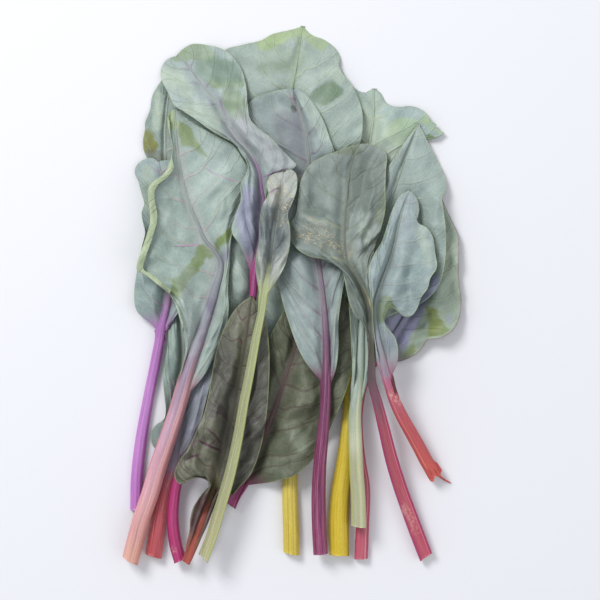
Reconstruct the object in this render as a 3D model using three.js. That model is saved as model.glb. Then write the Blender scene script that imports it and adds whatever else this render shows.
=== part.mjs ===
// Swiss chard bunch: fourteen cut leaves with coloured stalks, lying flat in one loose pile.
// Millimetres, +Z up. Stalk ends point to -Y, leaf tips to +Y. z = 0 is the surface the bunch lies on, and
// x = y = 0 is the middle of its outline. Every leaf is one grown piece: a stalk that runs on into the midrib
// of its own blade. The leaves are listed from the bottom of the pile to its top, and each one is draped over
// everything that lies below it.
import * as THREE from "three";

// ---- driving dimensions -------------------------------------------------------------------------------
const BLADE_THICKNESS = 0.8;      // flat part of a blade
const LEAF_GAP = 0.6;             // air between a leaf and what lies under it
const STALK_DEPTH = 0.78;         // depth of a stalk as a share of its width
const STALK_EDGE = 0.9;           // thickness of a stalk at its two side edges
const RIB_TIP_WIDTH = 1.2;        // width of the midrib near the leaf tip
const RIB_TIP_DEPTH = 0.5;        // how far the midrib stands out of the blade near the tip
const RUFFLE = 6.5;               // height of the waves along a blade's margin
const RUFFLE_WAVES = 3;           // waves along one side of a blade
const BILLOW = 4.0;               // height of the soft swells between the midrib and the margin
const BILLOW_WAVES = 2;
const BLADE_BEND_RADIUS = 24;     // tightest bend of a blade over what is under it
const STALK_BEND_RADIUS = 260;    // tightest bend of a stalk and of its midrib
const STALK_STATIONS = 6;         // cross-sections along a stalk
const BLADE_STATIONS = 13;        // cross-sections along a blade
const CELL = 1;                   // spacing of the height map the leaves are draped on
const FLOOR_X = [-130, 130], FLOOR_Y = [-200, 200];

// Columns across a leaf. In the stalk they are shares of its half width; in the blade the middle three are
// the midrib and its two edges, and the others are shares of the way from the midrib to the margin.
const STALK_COLUMNS = [-1, -0.88, -0.66, -0.36, 0, 0.36, 0.66, 0.88, 1];
const BLADE_COLUMNS = [-1, -0.68, -0.34, 0, 0, 0, 0.34, 0.68, 1];
const RIB_COLUMNS = [0, 0, 0, -1, 0, 1, 0, 0, 0];

const COLORS = {
  leaf_violet_stalk: 0x7f9477, leaf_pink_stalk: 0x8aa383, leaf_red_stalk: 0x6f8a66, leaf_magenta_stalk: 0x7d9678,
  leaf_dark: 0x3f4a30, leaf_lime_stalk: 0x93a97f, leaf_yellow_stalk: 0x76906a, leaf_purple_stalk: 0x7a8a78,
};

// ---- the leaves: plan outlines ------------------------------------------------------------------------
// stalk: [x, y, width] from the cut end up to the blade. rib: midrib from the blade's base to its tip.
// left, right: the two margins from the base to the tip. side: the side of the blade that faces up, its
// "back" (the midrib stands out of it) or its "face" (the midrib is a groove in it).
const LEAVES = [
  {
    name: "leaf_12_coral", slot: "leaf_pink_stalk", side: "back",
    stalk: [[46.6, -178.2, 9.0], [47.5, -156.1, 9.0], [49.0, -131.3, 7.0], [46.6, -113.2, 6.4], [45.2, -100.5, 6.2], [44.6, -83.1, 5.8], [46.6, -68.3, 5.4], [50.3, -56.3, 5.0], [55.0, -45.6, 4.7]],
    rib: [[60.4, -38.9], [71.1, -24.1], [81.1, -5.4], [89.2, 16.1], [94.5, 36.2], [97.2, 56.3], [95.2, 76.4]],
    left: [[57.7, -34.2], [53.7, -20.8], [51.0, -2.0], [52.3, 19.4], [56.3, 41.5], [64.4, 60.3], [77.8, 73.7], [95.2, 76.4]],
    right: [[63.0, -45.6], [71.8, -45.6], [76.4, -44.2], [83.8, -40.2], [88.5, -34.8], [91.2, -30.8], [95.2, -30.2], [99.9, -29.5], [107.3, -24.8], [112.0, -17.4], [114.0, -4.7], [112.6, 6.0], [112.0, 22.8], [112.0, 38.9], [109.3, 46.2], [104.6, 56.3], [101.2, 65.0], [99.2, 72.4], [95.2, 76.4]],
  },
  {
    name: "leaf_10_yellow_wide", slot: "leaf_yellow_stalk", side: "back",
    stalk: [[31.9, -175.5, 13.1], [31.6, -167.5, 14.1], [31.4, -155.4, 14.4], [32.1, -138.0, 13.4], [35.6, -111.2, 11.1], [37.6, -91.1, 8.7], [38.3, -74.4, 7.4], [38.3, -57.6, 6.7], [38.9, -37.5, 6.0], [40.3, -17.4, 5.4]],
    rib: [[40.9, -4.0], [42.9, 29.5], [47.0, 63.0], [51.7, 96.5], [55.0, 119.9], [55.7, 138.7]],
    left: [[36.9, -2.0], [26.9, 7.4], [16.1, 32.8], [8.1, 66.3], [6.8, 103.2], [13.5, 131.3], [23.5, 146.7], [30.9, 152.8], [38.9, 142.0], [42.9, 138.0], [46.3, 135.6], [49.6, 135.9], [52.3, 137.5], [55.7, 138.7]],
    right: [[45.0, -1.3], [51.0, 12.7], [62.4, 36.2], [73.8, 63.0], [82.5, 89.8], [87.2, 102.5], [90.5, 105.5], [93.2, 107.7], [95.2, 105.9], [97.2, 105.2], [99.9, 106.7], [102.9, 108.3], [98.9, 110.9], [96.5, 111.9], [97.6, 113.6], [96.2, 115.2], [93.5, 115.9], [92.5, 118.3], [89.8, 122.6], [85.2, 125.4], [79.5, 126.7], [73.8, 126.0], [67.1, 126.9], [62.4, 131.0], [60.7, 134.8], [58.4, 137.2], [55.7, 138.7]],
  },
  {
    name: "leaf_03_red", slot: "leaf_red_stalk", side: "back",
    stalk: [[-93.2, -176.5, 11.4], [-90.9, -159.5, 10.9], [-87.7, -141.4, 9.2], [-83.7, -126.6, 7.4], [-81.0, -117.9, 6.0]],
    rib: [[-79.0, -109.2], [-75.0, -77.7], [-73.0, -44.2], [-75.0, -4.0], [-80.3, 36.2], [-84.4, 76.4], [-85.7, 109.9], [-81.7, 148.7]],
    left: [[-82.3, -108.5], [-88.4, -105.9], [-93.1, -103.2], [-95.1, -97.8], [-94.4, -92.5], [-91.1, -87.8], [-86.4, -85.1], [-85.0, -79.1], [-85.7, -67.7], [-86.4, -56.3], [-84.4, -40.9], [-83.0, -29.5], [-84.4, -10.7], [-89.7, 9.4], [-93.7, 36.2], [-95.1, 63.0], [-95.7, 86.4], [-99.8, 96.5], [-100.4, 103.2], [-99.1, 111.2], [-99.1, 115.2], [-95.7, 124.6], [-94.4, 133.3], [-90.4, 140.7], [-87.0, 145.4], [-81.7, 148.7]],
    right: [[-75.0, -108.5], [-66.9, -100.5], [-62.9, -91.1], [-57.6, -71.0], [-50.9, -44.2], [-44.2, -17.4], [-40.1, 16.1], [-38.8, 49.6], [-40.1, 83.1], [-44.2, 113.2], [-56.2, 136.7], [-68.3, 146.1], [-81.7, 148.7]],
  },
  {
    name: "leaf_01_violet", slot: "leaf_violet_stalk", side: "back",
    stalk: [[-105.0, -145.4, 8.0], [-104.5, -124.6, 8.4], [-101.6, -97.8, 7.8], [-96.9, -71.0, 7.2], [-92.9, -50.9, 7.0], [-89.7, -34.2, 6.7]],
    rib: [[-88.4, -25.5], [-83.0, -2.7], [-80.3, 22.8], [-81.7, 46.2], [-86.4, 69.7], [-89.7, 89.8]],
    left: [[-91.1, -24.1], [-95.1, -19.4], [-99.8, -16.1], [-103.8, -12.1], [-105.8, -6.0], [-106.1, 2.7], [-105.1, 10.7], [-103.1, 21.4], [-100.4, 32.8], [-98.4, 41.5], [-99.8, 48.2], [-100.8, 54.9], [-99.1, 61.0], [-100.4, 65.7], [-101.8, 71.0], [-103.1, 75.7], [-105.8, 81.1], [-105.5, 85.1], [-102.4, 89.1], [-95.7, 91.8], [-89.7, 89.8]],
    right: [[-85.7, -24.8], [-79.0, -16.1], [-69.6, -4.0], [-58.9, 16.1], [-54.9, 39.5], [-58.2, 63.0], [-68.3, 81.7], [-80.3, 89.8], [-89.7, 89.8]],
  },
  {
    name: "leaf_08_yellow", slot: "leaf_yellow_stalk", side: "back",
    stalk: [[-0.3, -174.9, 10.7], [-0.6, -158.1, 11.1], [-1.3, -138.0, 10.4], [-1.3, -117.9, 9.4], [-0.6, -101.2, 8.4]],
    rib: [[0.1, -87.8], [1.4, -57.6], [0.1, -24.1], [-2.6, 16.1], [-5.3, 56.3], [-4.6, 96.5], [-0.6, 133.3], [4.1, 160.1], [7.4, 180.9]],
    left: [[-4.6, -87.1], [-18.7, -74.4], [-32.1, -59.0], [-41.5, -37.5], [-45.5, -7.4], [-47.5, 22.8], [-48.8, 52.9], [-50.9, 83.1], [-52.9, 109.9], [-53.5, 136.7], [-50.9, 155.4], [-44.8, 164.8], [-34.8, 167.8], [-20.0, 171.5], [-13.3, 175.5], [-1.3, 178.2], [7.4, 180.9]],
    right: [[4.8, -87.1], [16.1, -73.7], [26.9, -54.9], [33.6, -29.5], [36.9, -0.7], [38.3, 29.5], [38.3, 56.3], [38.9, 77.7], [41.6, 92.5], [46.3, 103.2], [47.6, 113.9], [47.0, 124.6], [43.6, 134.7], [38.3, 143.4], [33.6, 149.4], [31.6, 154.1], [32.2, 159.5], [29.5, 165.5], [22.2, 171.5], [13.5, 174.9], [7.4, 180.9]],
  },
  {
    name: "leaf_07_dark_short", slot: "leaf_dark", side: "face",
    stalk: [[-40.8, -142.7, 6.7], [-37.5, -134.7, 6.7]],
    rib: [[-33.4, -126.6], [-23.4, -104.5], [-13.3, -81.1], [-2.6, -50.9], [6.8, -20.8], [14.1, 6.7]],
    left: [[-36.8, -126.0], [-38.1, -112.6], [-37.5, -91.1], [-32.8, -71.0], [-25.4, -50.9], [-16.0, -30.8], [-5.3, -10.7], [4.1, 2.7], [14.1, 6.7]],
    right: [[-29.4, -128.6], [-11.3, -125.3], [3.4, -119.9], [14.8, -109.9], [22.8, -97.2], [28.2, -83.8], [33.6, -71.0], [38.3, -57.6], [40.9, -44.9], [41.6, -34.2], [40.3, -18.8], [36.2, -4.0], [28.2, 4.0], [21.5, 6.7], [14.1, 6.7]],
  },
  {
    name: "leaf_11_pale_lime", slot: "leaf_lime_stalk", side: "back",
    stalk: [[44.6, -155.4, 10.1], [44.3, -138.0, 9.7], [43.1, -117.9, 9.4], [42.3, -97.8, 9.0], [42.0, -81.1, 8.0]],
    rib: [[42.9, -71.0], [45.6, -50.9], [46.3, -30.8], [48.3, -4.0], [52.3, 19.4], [60.4, 46.2], [69.7, 73.0], [77.8, 96.5], [85.2, 114.6]],
    left: [[38.9, -69.7], [40.3, -50.9], [39.6, -34.2], [38.9, -18.8], [37.6, 1.3], [37.6, 22.8], [41.6, 42.9], [50.3, 63.0], [61.0, 81.1], [69.1, 91.8], [75.1, 101.2], [80.5, 108.5], [85.2, 114.6]],
    right: [[47.0, -69.7], [51.7, -50.9], [51.7, -34.2], [55.7, -20.8], [69.1, -14.1], [84.5, -7.4], [95.9, 2.7], [101.2, 16.1], [103.2, 32.8], [101.9, 52.9], [100.6, 65.0], [103.2, 69.7], [103.2, 75.7], [100.6, 83.8], [97.2, 91.8], [92.5, 99.8], [89.2, 107.2], [85.2, 114.6]],
  },
  {
    name: "leaf_09_purple", slot: "leaf_purple_stalk", side: "back",
    stalk: [[19.2, -174.2, 9.7], [18.2, -154.8, 9.7], [17.8, -134.7, 9.4], [18.8, -111.2, 8.4], [20.8, -91.1, 7.4], [22.2, -74.4, 6.7]],
    rib: [[22.8, -59.0], [22.8, -27.5], [19.5, 9.4], [14.1, 46.2], [10.8, 73.0], [11.5, 93.1], [7.4, 116.6], [0.7, 138.0]],
    left: [[18.8, -57.6], [6.8, -41.5], [-2.6, -17.4], [-10.0, 9.4], [-16.0, 36.2], [-20.7, 59.6], [-24.7, 83.1], [-28.7, 99.8], [-32.1, 113.2], [-32.1, 124.0], [-26.7, 131.0], [-18.7, 135.0], [-9.3, 137.3], [0.7, 138.0]],
    right: [[26.2, -59.0], [29.5, -48.2], [30.9, -34.2], [30.9, -18.8], [32.9, -2.7], [36.2, 14.7], [38.9, 36.2], [38.3, 59.6], [32.9, 83.1], [26.2, 101.8], [22.2, 113.9], [17.5, 123.3], [11.5, 132.0], [6.1, 138.0], [0.7, 138.0]],
  },
  {
    name: "leaf_02_pink", slot: "leaf_pink_stalk", side: "back",
    stalk: [[-108.5, -178.9, 11.4], [-101.1, -151.4, 11.7], [-95.5, -135.3, 11.9], [-90.0, -116.6, 11.9], [-82.2, -93.8, 11.3], [-77.0, -77.7, 10.1]],
    rib: [[-73.0, -63.7], [-67.9, -46.9], [-62.9, -32.2], [-57.6, -16.1], [-51.5, 2.7], [-47.5, 20.1], [-51.5, 28.8], [-58.2, 36.2], [-63.6, 48.2], [-68.3, 58.3], [-72.3, 71.0], [-75.6, 86.4], [-77.7, 103.2], [-79.0, 125.3]],
    left: [[-78.3, -62.3], [-74.3, -52.3], [-71.6, -38.9], [-73.0, -25.5], [-76.3, -9.4], [-81.0, -0.7], [-88.4, 6.0], [-96.4, 12.1], [-103.1, 16.1], [-101.1, 25.5], [-97.1, 37.5], [-94.4, 46.9], [-94.4, 54.9], [-95.7, 63.0], [-95.7, 69.7], [-92.4, 75.0], [-86.4, 79.7], [-82.3, 87.1], [-80.3, 95.8], [-81.0, 103.9], [-83.0, 110.6], [-83.7, 117.2], [-81.7, 123.3], [-79.0, 125.3]],
    right: [[-67.6, -65.0], [-58.9, -54.3], [-51.5, -40.9], [-44.2, -22.8], [-42.1, -8.0], [-42.8, 2.7], [-41.5, 21.4], [-40.1, 39.5], [-36.1, 56.3], [-34.1, 66.3], [-34.1, 75.0], [-28.7, 81.7], [-33.4, 91.1], [-39.5, 99.8], [-51.5, 106.5], [-64.3, 113.9], [-73.0, 119.9], [-79.0, 125.3]],
  },
  {
    name: "leaf_04_magenta", slot: "leaf_magenta_stalk", side: "back",
    stalk: [[-75.0, -178.9, 8.7], [-78.3, -166.8, 8.4], [-80.0, -151.4, 8.0], [-79.0, -136.7, 7.1], [-76.8, -126.0, 6.0], [-73.2, -117.9, 5.8], [-67.9, -108.5, 5.8], [-61.6, -97.8, 5.9], [-54.9, -85.8, 6.0], [-42.5, -65.7, 6.0], [-32.8, -38.9, 5.4], [-27.4, -10.7, 5.0]],
    rib: [[-24.1, 16.1], [-20.0, 39.5], [-18.7, 59.6], [-20.7, 71.0], [-22.0, 81.7], [-26.7, 92.5], [-31.4, 98.5], [-36.1, 103.2], [-42.8, 113.2], [-46.8, 121.9], [-52.2, 131.3], [-61.6, 142.0], [-71.0, 155.4], [-77.7, 160.8]],
    left: [[-28.1, 16.1], [-34.8, 32.8], [-40.1, 41.5], [-36.8, 54.9], [-34.1, 63.0], [-34.1, 75.0], [-30.1, 81.7], [-30.1, 87.8], [-34.8, 95.1], [-38.1, 101.2], [-44.2, 103.9], [-54.9, 109.9], [-64.9, 117.2], [-73.0, 122.6], [-79.0, 126.6], [-83.0, 134.7], [-87.7, 144.1], [-88.4, 151.4], [-84.4, 158.1], [-77.7, 160.8]],
    right: [[-20.0, 16.1], [-14.7, 32.8], [-14.7, 48.2], [-17.4, 59.6], [-17.4, 69.7], [-13.3, 77.7], [-5.3, 81.7], [1.4, 84.4], [3.1, 86.4], [0.7, 89.1], [-7.3, 97.2], [-15.3, 105.2], [-22.7, 111.2], [-27.7, 116.6], [-29.7, 126.6], [-30.8, 140.0], [-34.8, 152.8], [-44.2, 163.5], [-54.9, 167.5], [-66.9, 168.8], [-74.3, 164.8], [-77.7, 160.8]],
  },
  {
    name: "leaf_05_dark", slot: "leaf_dark", side: "face",
    stalk: [[-71.0, -179.6, 4.7], [-69.6, -176.2, 4.7]],
    rib: [[-68.3, -172.9], [-65.6, -166.2], [-60.9, -154.1], [-56.2, -140.7], [-51.5, -127.3], [-46.8, -111.2], [-42.1, -91.1], [-36.8, -64.3], [-31.4, -34.2], [-26.7, -1.3]],
    left: [[-71.0, -170.9], [-69.6, -164.8], [-68.3, -157.5], [-67.6, -150.1], [-66.3, -143.4], [-62.9, -137.3], [-59.6, -132.7], [-56.2, -129.3], [-53.5, -127.3], [-53.5, -124.6], [-56.9, -122.6], [-62.9, -121.3], [-68.9, -123.3], [-73.6, -126.0], [-77.0, -122.6], [-77.7, -117.9], [-75.0, -111.2], [-70.3, -105.2], [-67.6, -99.8], [-62.9, -90.5], [-58.9, -81.1], [-56.2, -70.4], [-53.5, -54.3], [-50.2, -37.5], [-44.2, -20.8], [-36.1, -8.0], [-26.7, -1.3]],
    right: [[-64.9, -173.5], [-61.6, -165.5], [-55.5, -152.1], [-50.9, -140.0], [-46.8, -131.3], [-40.1, -134.0], [-34.8, -128.6], [-28.1, -121.3], [-21.4, -104.5], [-17.4, -84.4], [-15.3, -61.0], [-15.3, -34.2], [-18.7, -14.1], [-26.7, -1.3]],
  },
  {
    name: "leaf_13_crimson", slot: "leaf_red_stalk", side: "face",
    stalk: [[90.2, -176.9, 9.4], [84.5, -162.1, 9.7], [78.5, -146.1, 9.4], [71.8, -127.3, 9.0], [66.4, -109.9, 8.4], [61.7, -91.1, 7.5], [57.0, -72.4, 6.3], [53.0, -57.6, 5.4], [53.0, -45.6, 4.0]],
    rib: [[53.0, -34.8], [52.0, -22.8], [51.7, -11.4], [47.6, 2.7], [42.9, 12.1], [37.6, 21.4], [35.6, 32.8], [35.6, 44.2], [36.9, 63.0], [38.3, 77.7], [41.6, 91.1], [45.6, 101.2]],
    left: [[51.0, -30.8], [48.3, -18.8], [43.6, -16.1], [38.9, -8.0], [36.2, 2.7], [34.2, 12.7], [30.9, 20.1], [22.2, 23.5], [12.1, 24.8], [4.1, 29.5], [-0.6, 36.2], [-1.3, 45.6], [2.7, 53.6], [4.1, 63.0], [6.1, 76.4], [12.1, 86.4], [20.2, 91.8], [28.9, 95.1], [37.6, 98.5], [45.6, 101.2]],
    right: [[55.0, -32.2], [55.0, -18.8], [55.0, -4.0], [53.7, 9.4], [53.7, 21.4], [55.7, 32.8], [59.7, 44.2], [62.4, 56.3], [62.4, 69.7], [63.0, 83.1], [63.7, 92.5], [61.0, 97.8], [54.3, 100.5], [45.6, 101.2]],
  },
  {
    name: "leaf_14_red_bent", slot: "leaf_red_stalk", side: "back",
    stalk: [[96.5, -121.9, 8.7], [90.5, -112.6, 9.4], [86.2, -104.5, 8.7], [79.8, -93.1, 8.6], [73.1, -81.1, 7.8], [68.4, -71.0, 7.4], [65.7, -63.0, 6.7]],
    rib: [[62.4, -52.3], [59.7, -40.9], [57.0, -29.5], [55.3, -18.8], [55.0, -7.4], [58.4, 4.7], [63.7, 18.8], [67.7, 30.8], [71.1, 46.2], [75.1, 59.6], [79.1, 69.7]],
    left: [[58.4, -50.9], [56.3, -42.9], [55.0, -30.8], [53.7, -18.8], [53.0, -6.0], [51.0, 6.0], [51.0, 17.4], [54.3, 26.1], [59.7, 34.8], [63.0, 44.2], [67.1, 56.3], [72.4, 65.7], [79.1, 69.7]],
    right: [[67.1, -52.9], [69.7, -46.9], [70.4, -36.9], [68.4, -28.8], [63.7, -22.8], [60.4, -16.8], [60.4, -12.7], [62.4, -8.0], [65.1, -5.4], [67.7, -7.4], [70.4, -10.7], [73.8, -14.7], [79.1, -14.7], [83.1, -10.1], [85.8, -2.0], [89.8, 4.0], [91.2, 10.1], [95.9, 17.4], [95.2, 26.8], [93.9, 38.2], [89.8, 44.2], [83.8, 48.2], [85.2, 56.3], [83.8, 63.7], [79.1, 69.7]],
  },
  {
    name: "leaf_06_lime", slot: "leaf_lime_stalk", side: "face",
    stalk: [[-59.0, -175.5, 7.9], [-53.5, -161.5, 7.6], [-47.9, -142.7, 7.5], [-42.1, -123.3, 7.4], [-37.7, -104.5, 7.0], [-34.5, -87.8, 6.6], [-32.0, -73.0, 6.3], [-27.7, -50.9, 6.0], [-23.4, -27.5, 5.4], [-20.0, -10.7, 4.7]],
    rib: [[-18.7, -0.7], [-15.3, 19.4], [-12.7, 37.5], [-10.0, 54.9], [-7.3, 69.7], [-5.3, 81.7]],
    left: [[-22.0, 1.3], [-24.1, 19.4], [-22.0, 36.2], [-21.4, 48.2], [-19.4, 59.6], [-16.0, 66.3], [-16.7, 75.0], [-13.3, 79.7], [-5.3, 81.7]],
    right: [[-15.3, 1.3], [-5.3, 17.4], [-1.3, 32.8], [-1.3, 44.2], [-2.6, 52.9], [0.7, 61.6], [3.4, 71.0], [2.7, 80.4], [-0.6, 83.1], [-5.3, 81.7]],
  },
];

// ---- plan curves --------------------------------------------------------------------------------------
function curve(points) {
  return new THREE.CatmullRomCurve3(points.map((p) => new THREE.Vector3(p[0], p[1], 0)), false, "centripetal");
}

function spaced(points, count) {
  const c = curve(points);
  c.arcLengthDivisions = 400;
  return c.getSpacedPoints(count - 1);
}

function widthAlong(stalk, share) {
  // width of the stalk at a share of its length
  const run = [0];
  for (let i = 1; i < stalk.length; i++) {
    run.push(run[i - 1] + Math.hypot(stalk[i][0] - stalk[i - 1][0], stalk[i][1] - stalk[i - 1][1]));
  }
  const at = share * run[run.length - 1];
  for (let i = 1; i < stalk.length; i++) {
    if (at <= run[i] + 1e-9) {
      const f = (at - run[i - 1]) / (run[i] - run[i - 1]);
      return stalk[i - 1][2] + (stalk[i][2] - stalk[i - 1][2]) * f;
    }
  }
  return stalk[stalk.length - 1][2];
}

function across(points, i) {
  // unit vector to the right of a plan curve's direction at point i
  const a = points[Math.max(0, i - 1)], b = points[Math.min(points.length - 1, i + 1)];
  const d = new THREE.Vector3().subVectors(b, a).normalize();
  return new THREE.Vector3(d.y, -d.x, 0);
}

// ---- one leaf as stations and columns -----------------------------------------------------------------
// Each point of the grid has x, y, up and down: how far the top and the bottom skin stand off the leaf's
// middle surface there, and lift, how far the middle surface stands off what it would be draped on.
function leafGrid(leaf, index) {
  const rows = [];
  const back = leaf.side === "back";
  const stalkLine = spaced([...leaf.stalk.map((p) => [p[0], p[1]]), leaf.rib[0]], STALK_STATIONS + 1);
  for (let j = 0; j < STALK_STATIONS; j++) {
    const n = across(stalkLine, j);
    const w = widthAlong(leaf.stalk, Math.min(1, j / (STALK_STATIONS - 0.5)));
    const depth = STALK_DEPTH * w;
    rows.push(STALK_COLUMNS.map((f) => {
      const round = depth * 0.62 * Math.sqrt(Math.max(0, 1 - 0.93 * f * f));
      const hollow = depth * 0.38 * (0.45 + 0.55 * f * f) * (Math.abs(f) > 0.95 ? 0.5 : 1) + 0.1 * STALK_EDGE;
      return {
        x: stalkLine[j].x + n.x * f * w / 2, y: stalkLine[j].y + n.y * f * w / 2,
        up: back ? round : hollow, down: back ? hollow : round, lift: 0, stiff: true,
      };
    }));
  }
  const rib = spaced(leaf.rib, BLADE_STATIONS);
  const left = spaced(leaf.left, BLADE_STATIONS), right = spaced(leaf.right, BLADE_STATIONS);
  const w0 = leaf.stalk[leaf.stalk.length - 1][2];
  for (let j = 0; j < BLADE_STATIONS; j++) {
    const t = j / (BLADE_STATIONS - 1);
    const n = across(rib, j);
    const half = 0.5 * (RIB_TIP_WIDTH + (w0 * 0.85 - RIB_TIP_WIDTH) * Math.pow(1 - t, 1.4)) * Math.min(1, 5 * (1 - t) + 0.2);
    const ribDepth = RIB_TIP_DEPTH + (w0 * STALK_DEPTH * 0.62 - RIB_TIP_DEPTH) * Math.pow(1 - t, 1.5);
    const end = j === BLADE_STATIONS - 1;
    rows.push(BLADE_COLUMNS.map((u, k) => {
      const r = RIB_COLUMNS[k];
      let x, y;
      if (u === 0) {
        x = rib[j].x + n.x * r * half; y = rib[j].y + n.y * r * half;
      } else {
        const sgn = Math.sign(u), m = sgn < 0 ? left[j] : right[j];
        const x0 = rib[j].x + n.x * sgn * half, y0 = rib[j].y + n.y * sgn * half;
        x = x0 + (m.x - x0) * Math.abs(u); y = y0 + (m.y - y0) * Math.abs(u);
      }
      if (end) {
        // the tip is a short blunt edge and not a point
        const q = k - 4;
        x = rib[j].x + n.x * q * 0.45; y = rib[j].y + n.y * q * 0.45;
      }
      const mid = r === 0 && u === 0;
      const skin = BLADE_THICKNESS / 2;
      const thick = mid ? ribDepth : skin;
      const phase = index * 1.7 + (u < 0 ? 0 : 2.1);
      const room = Math.sin(Math.PI * Math.min(1, 0.08 + t));
      const wave = (n, p) => 0.5 + 0.5 * Math.sin(2 * Math.PI * n * t + p);
      const lift = end ? 0 : room * (RUFFLE * u * u * wave(RUFFLE_WAVES, phase) + BILLOW * Math.sin(Math.PI * Math.abs(u)) * wave(BILLOW_WAVES, phase * 1.3));
      return { x, y, up: back ? Math.max(thick, skin) : skin, down: back ? skin : Math.max(thick, skin), lift, stiff: Math.abs(k - 4) <= 1 };
    }));
  }
  return rows;
}

// ---- the height map the pile grows on -----------------------------------------------------------------
const NX = Math.round((FLOOR_X[1] - FLOOR_X[0]) / CELL) + 1, NY = Math.round((FLOOR_Y[1] - FLOOR_Y[0]) / CELL) + 1;

function cellsIn(a, b, c, visit) {
  // every height-map cell inside the plan triangle a b c, with its barycentric weights
  const x0 = Math.max(0, Math.ceil((Math.min(a.x, b.x, c.x) - FLOOR_X[0]) / CELL)), x1 = Math.min(NX - 1, Math.floor((Math.max(a.x, b.x, c.x) - FLOOR_X[0]) / CELL));
  const y0 = Math.max(0, Math.ceil((Math.min(a.y, b.y, c.y) - FLOOR_Y[0]) / CELL)), y1 = Math.min(NY - 1, Math.floor((Math.max(a.y, b.y, c.y) - FLOOR_Y[0]) / CELL));
  const area = (b.x - a.x) * (c.y - a.y) - (c.x - a.x) * (b.y - a.y);
  if (Math.abs(area) < 1e-9) return;
  for (let iy = y0; iy <= y1; iy++) {
    for (let ix = x0; ix <= x1; ix++) {
      const x = FLOOR_X[0] + ix * CELL, y = FLOOR_Y[0] + iy * CELL;
      const wb = ((x - a.x) * (c.y - a.y) - (c.x - a.x) * (y - a.y)) / area;
      const wc = ((b.x - a.x) * (y - a.y) - (x - a.x) * (b.y - a.y)) / area;
      const wa = 1 - wb - wc;
      if (wa > -1e-6 && wb > -1e-6 && wc > -1e-6) visit(iy * NX + ix, wa, wb, wc);
    }
  }
}

function eachTriangle(rows, visit) {
  for (let j = 0; j + 1 < rows.length; j++) {
    for (let k = 0; k + 1 < rows[j].length; k++) {
      const a = rows[j][k], b = rows[j][k + 1], c = rows[j + 1][k + 1], d = rows[j + 1][k];
      if (k < 4) { visit(a, b, c, j); visit(a, c, d, j); } else { visit(a, b, d, j); visit(b, c, d, j); }
    }
  }
}

// raises everything near a high point so that nothing bends over it tighter than the given radius
function bendOver(field, radius) {
  const reach = Math.ceil(Math.sqrt(2 * radius * 30) / CELL);
  const drop = [];
  for (let d = 0; d <= reach; d++) drop.push((d * CELL) * (d * CELL) / (2 * radius));
  const pass = (src, stride, count, lines, lineStride) => {
    const out = new Float64Array(src.length).fill(-Infinity);
    for (let l = 0; l < lines; l++) {
      const base = l * lineStride;
      for (let i = 0; i < count; i++) {
        const v = src[base + i * stride];
        if (v === -Infinity) continue;
        const lo = Math.max(0, i - reach), hi = Math.min(count - 1, i + reach);
        for (let q = lo; q <= hi; q++) {
          const w = v - drop[Math.abs(q - i)], o = base + q * stride;
          if (w > out[o]) out[o] = w;
        }
      }
    }
    return out;
  };
  return pass(pass(field, 1, NX, NY, NX), NX, NY, NX, 1);
}

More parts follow.
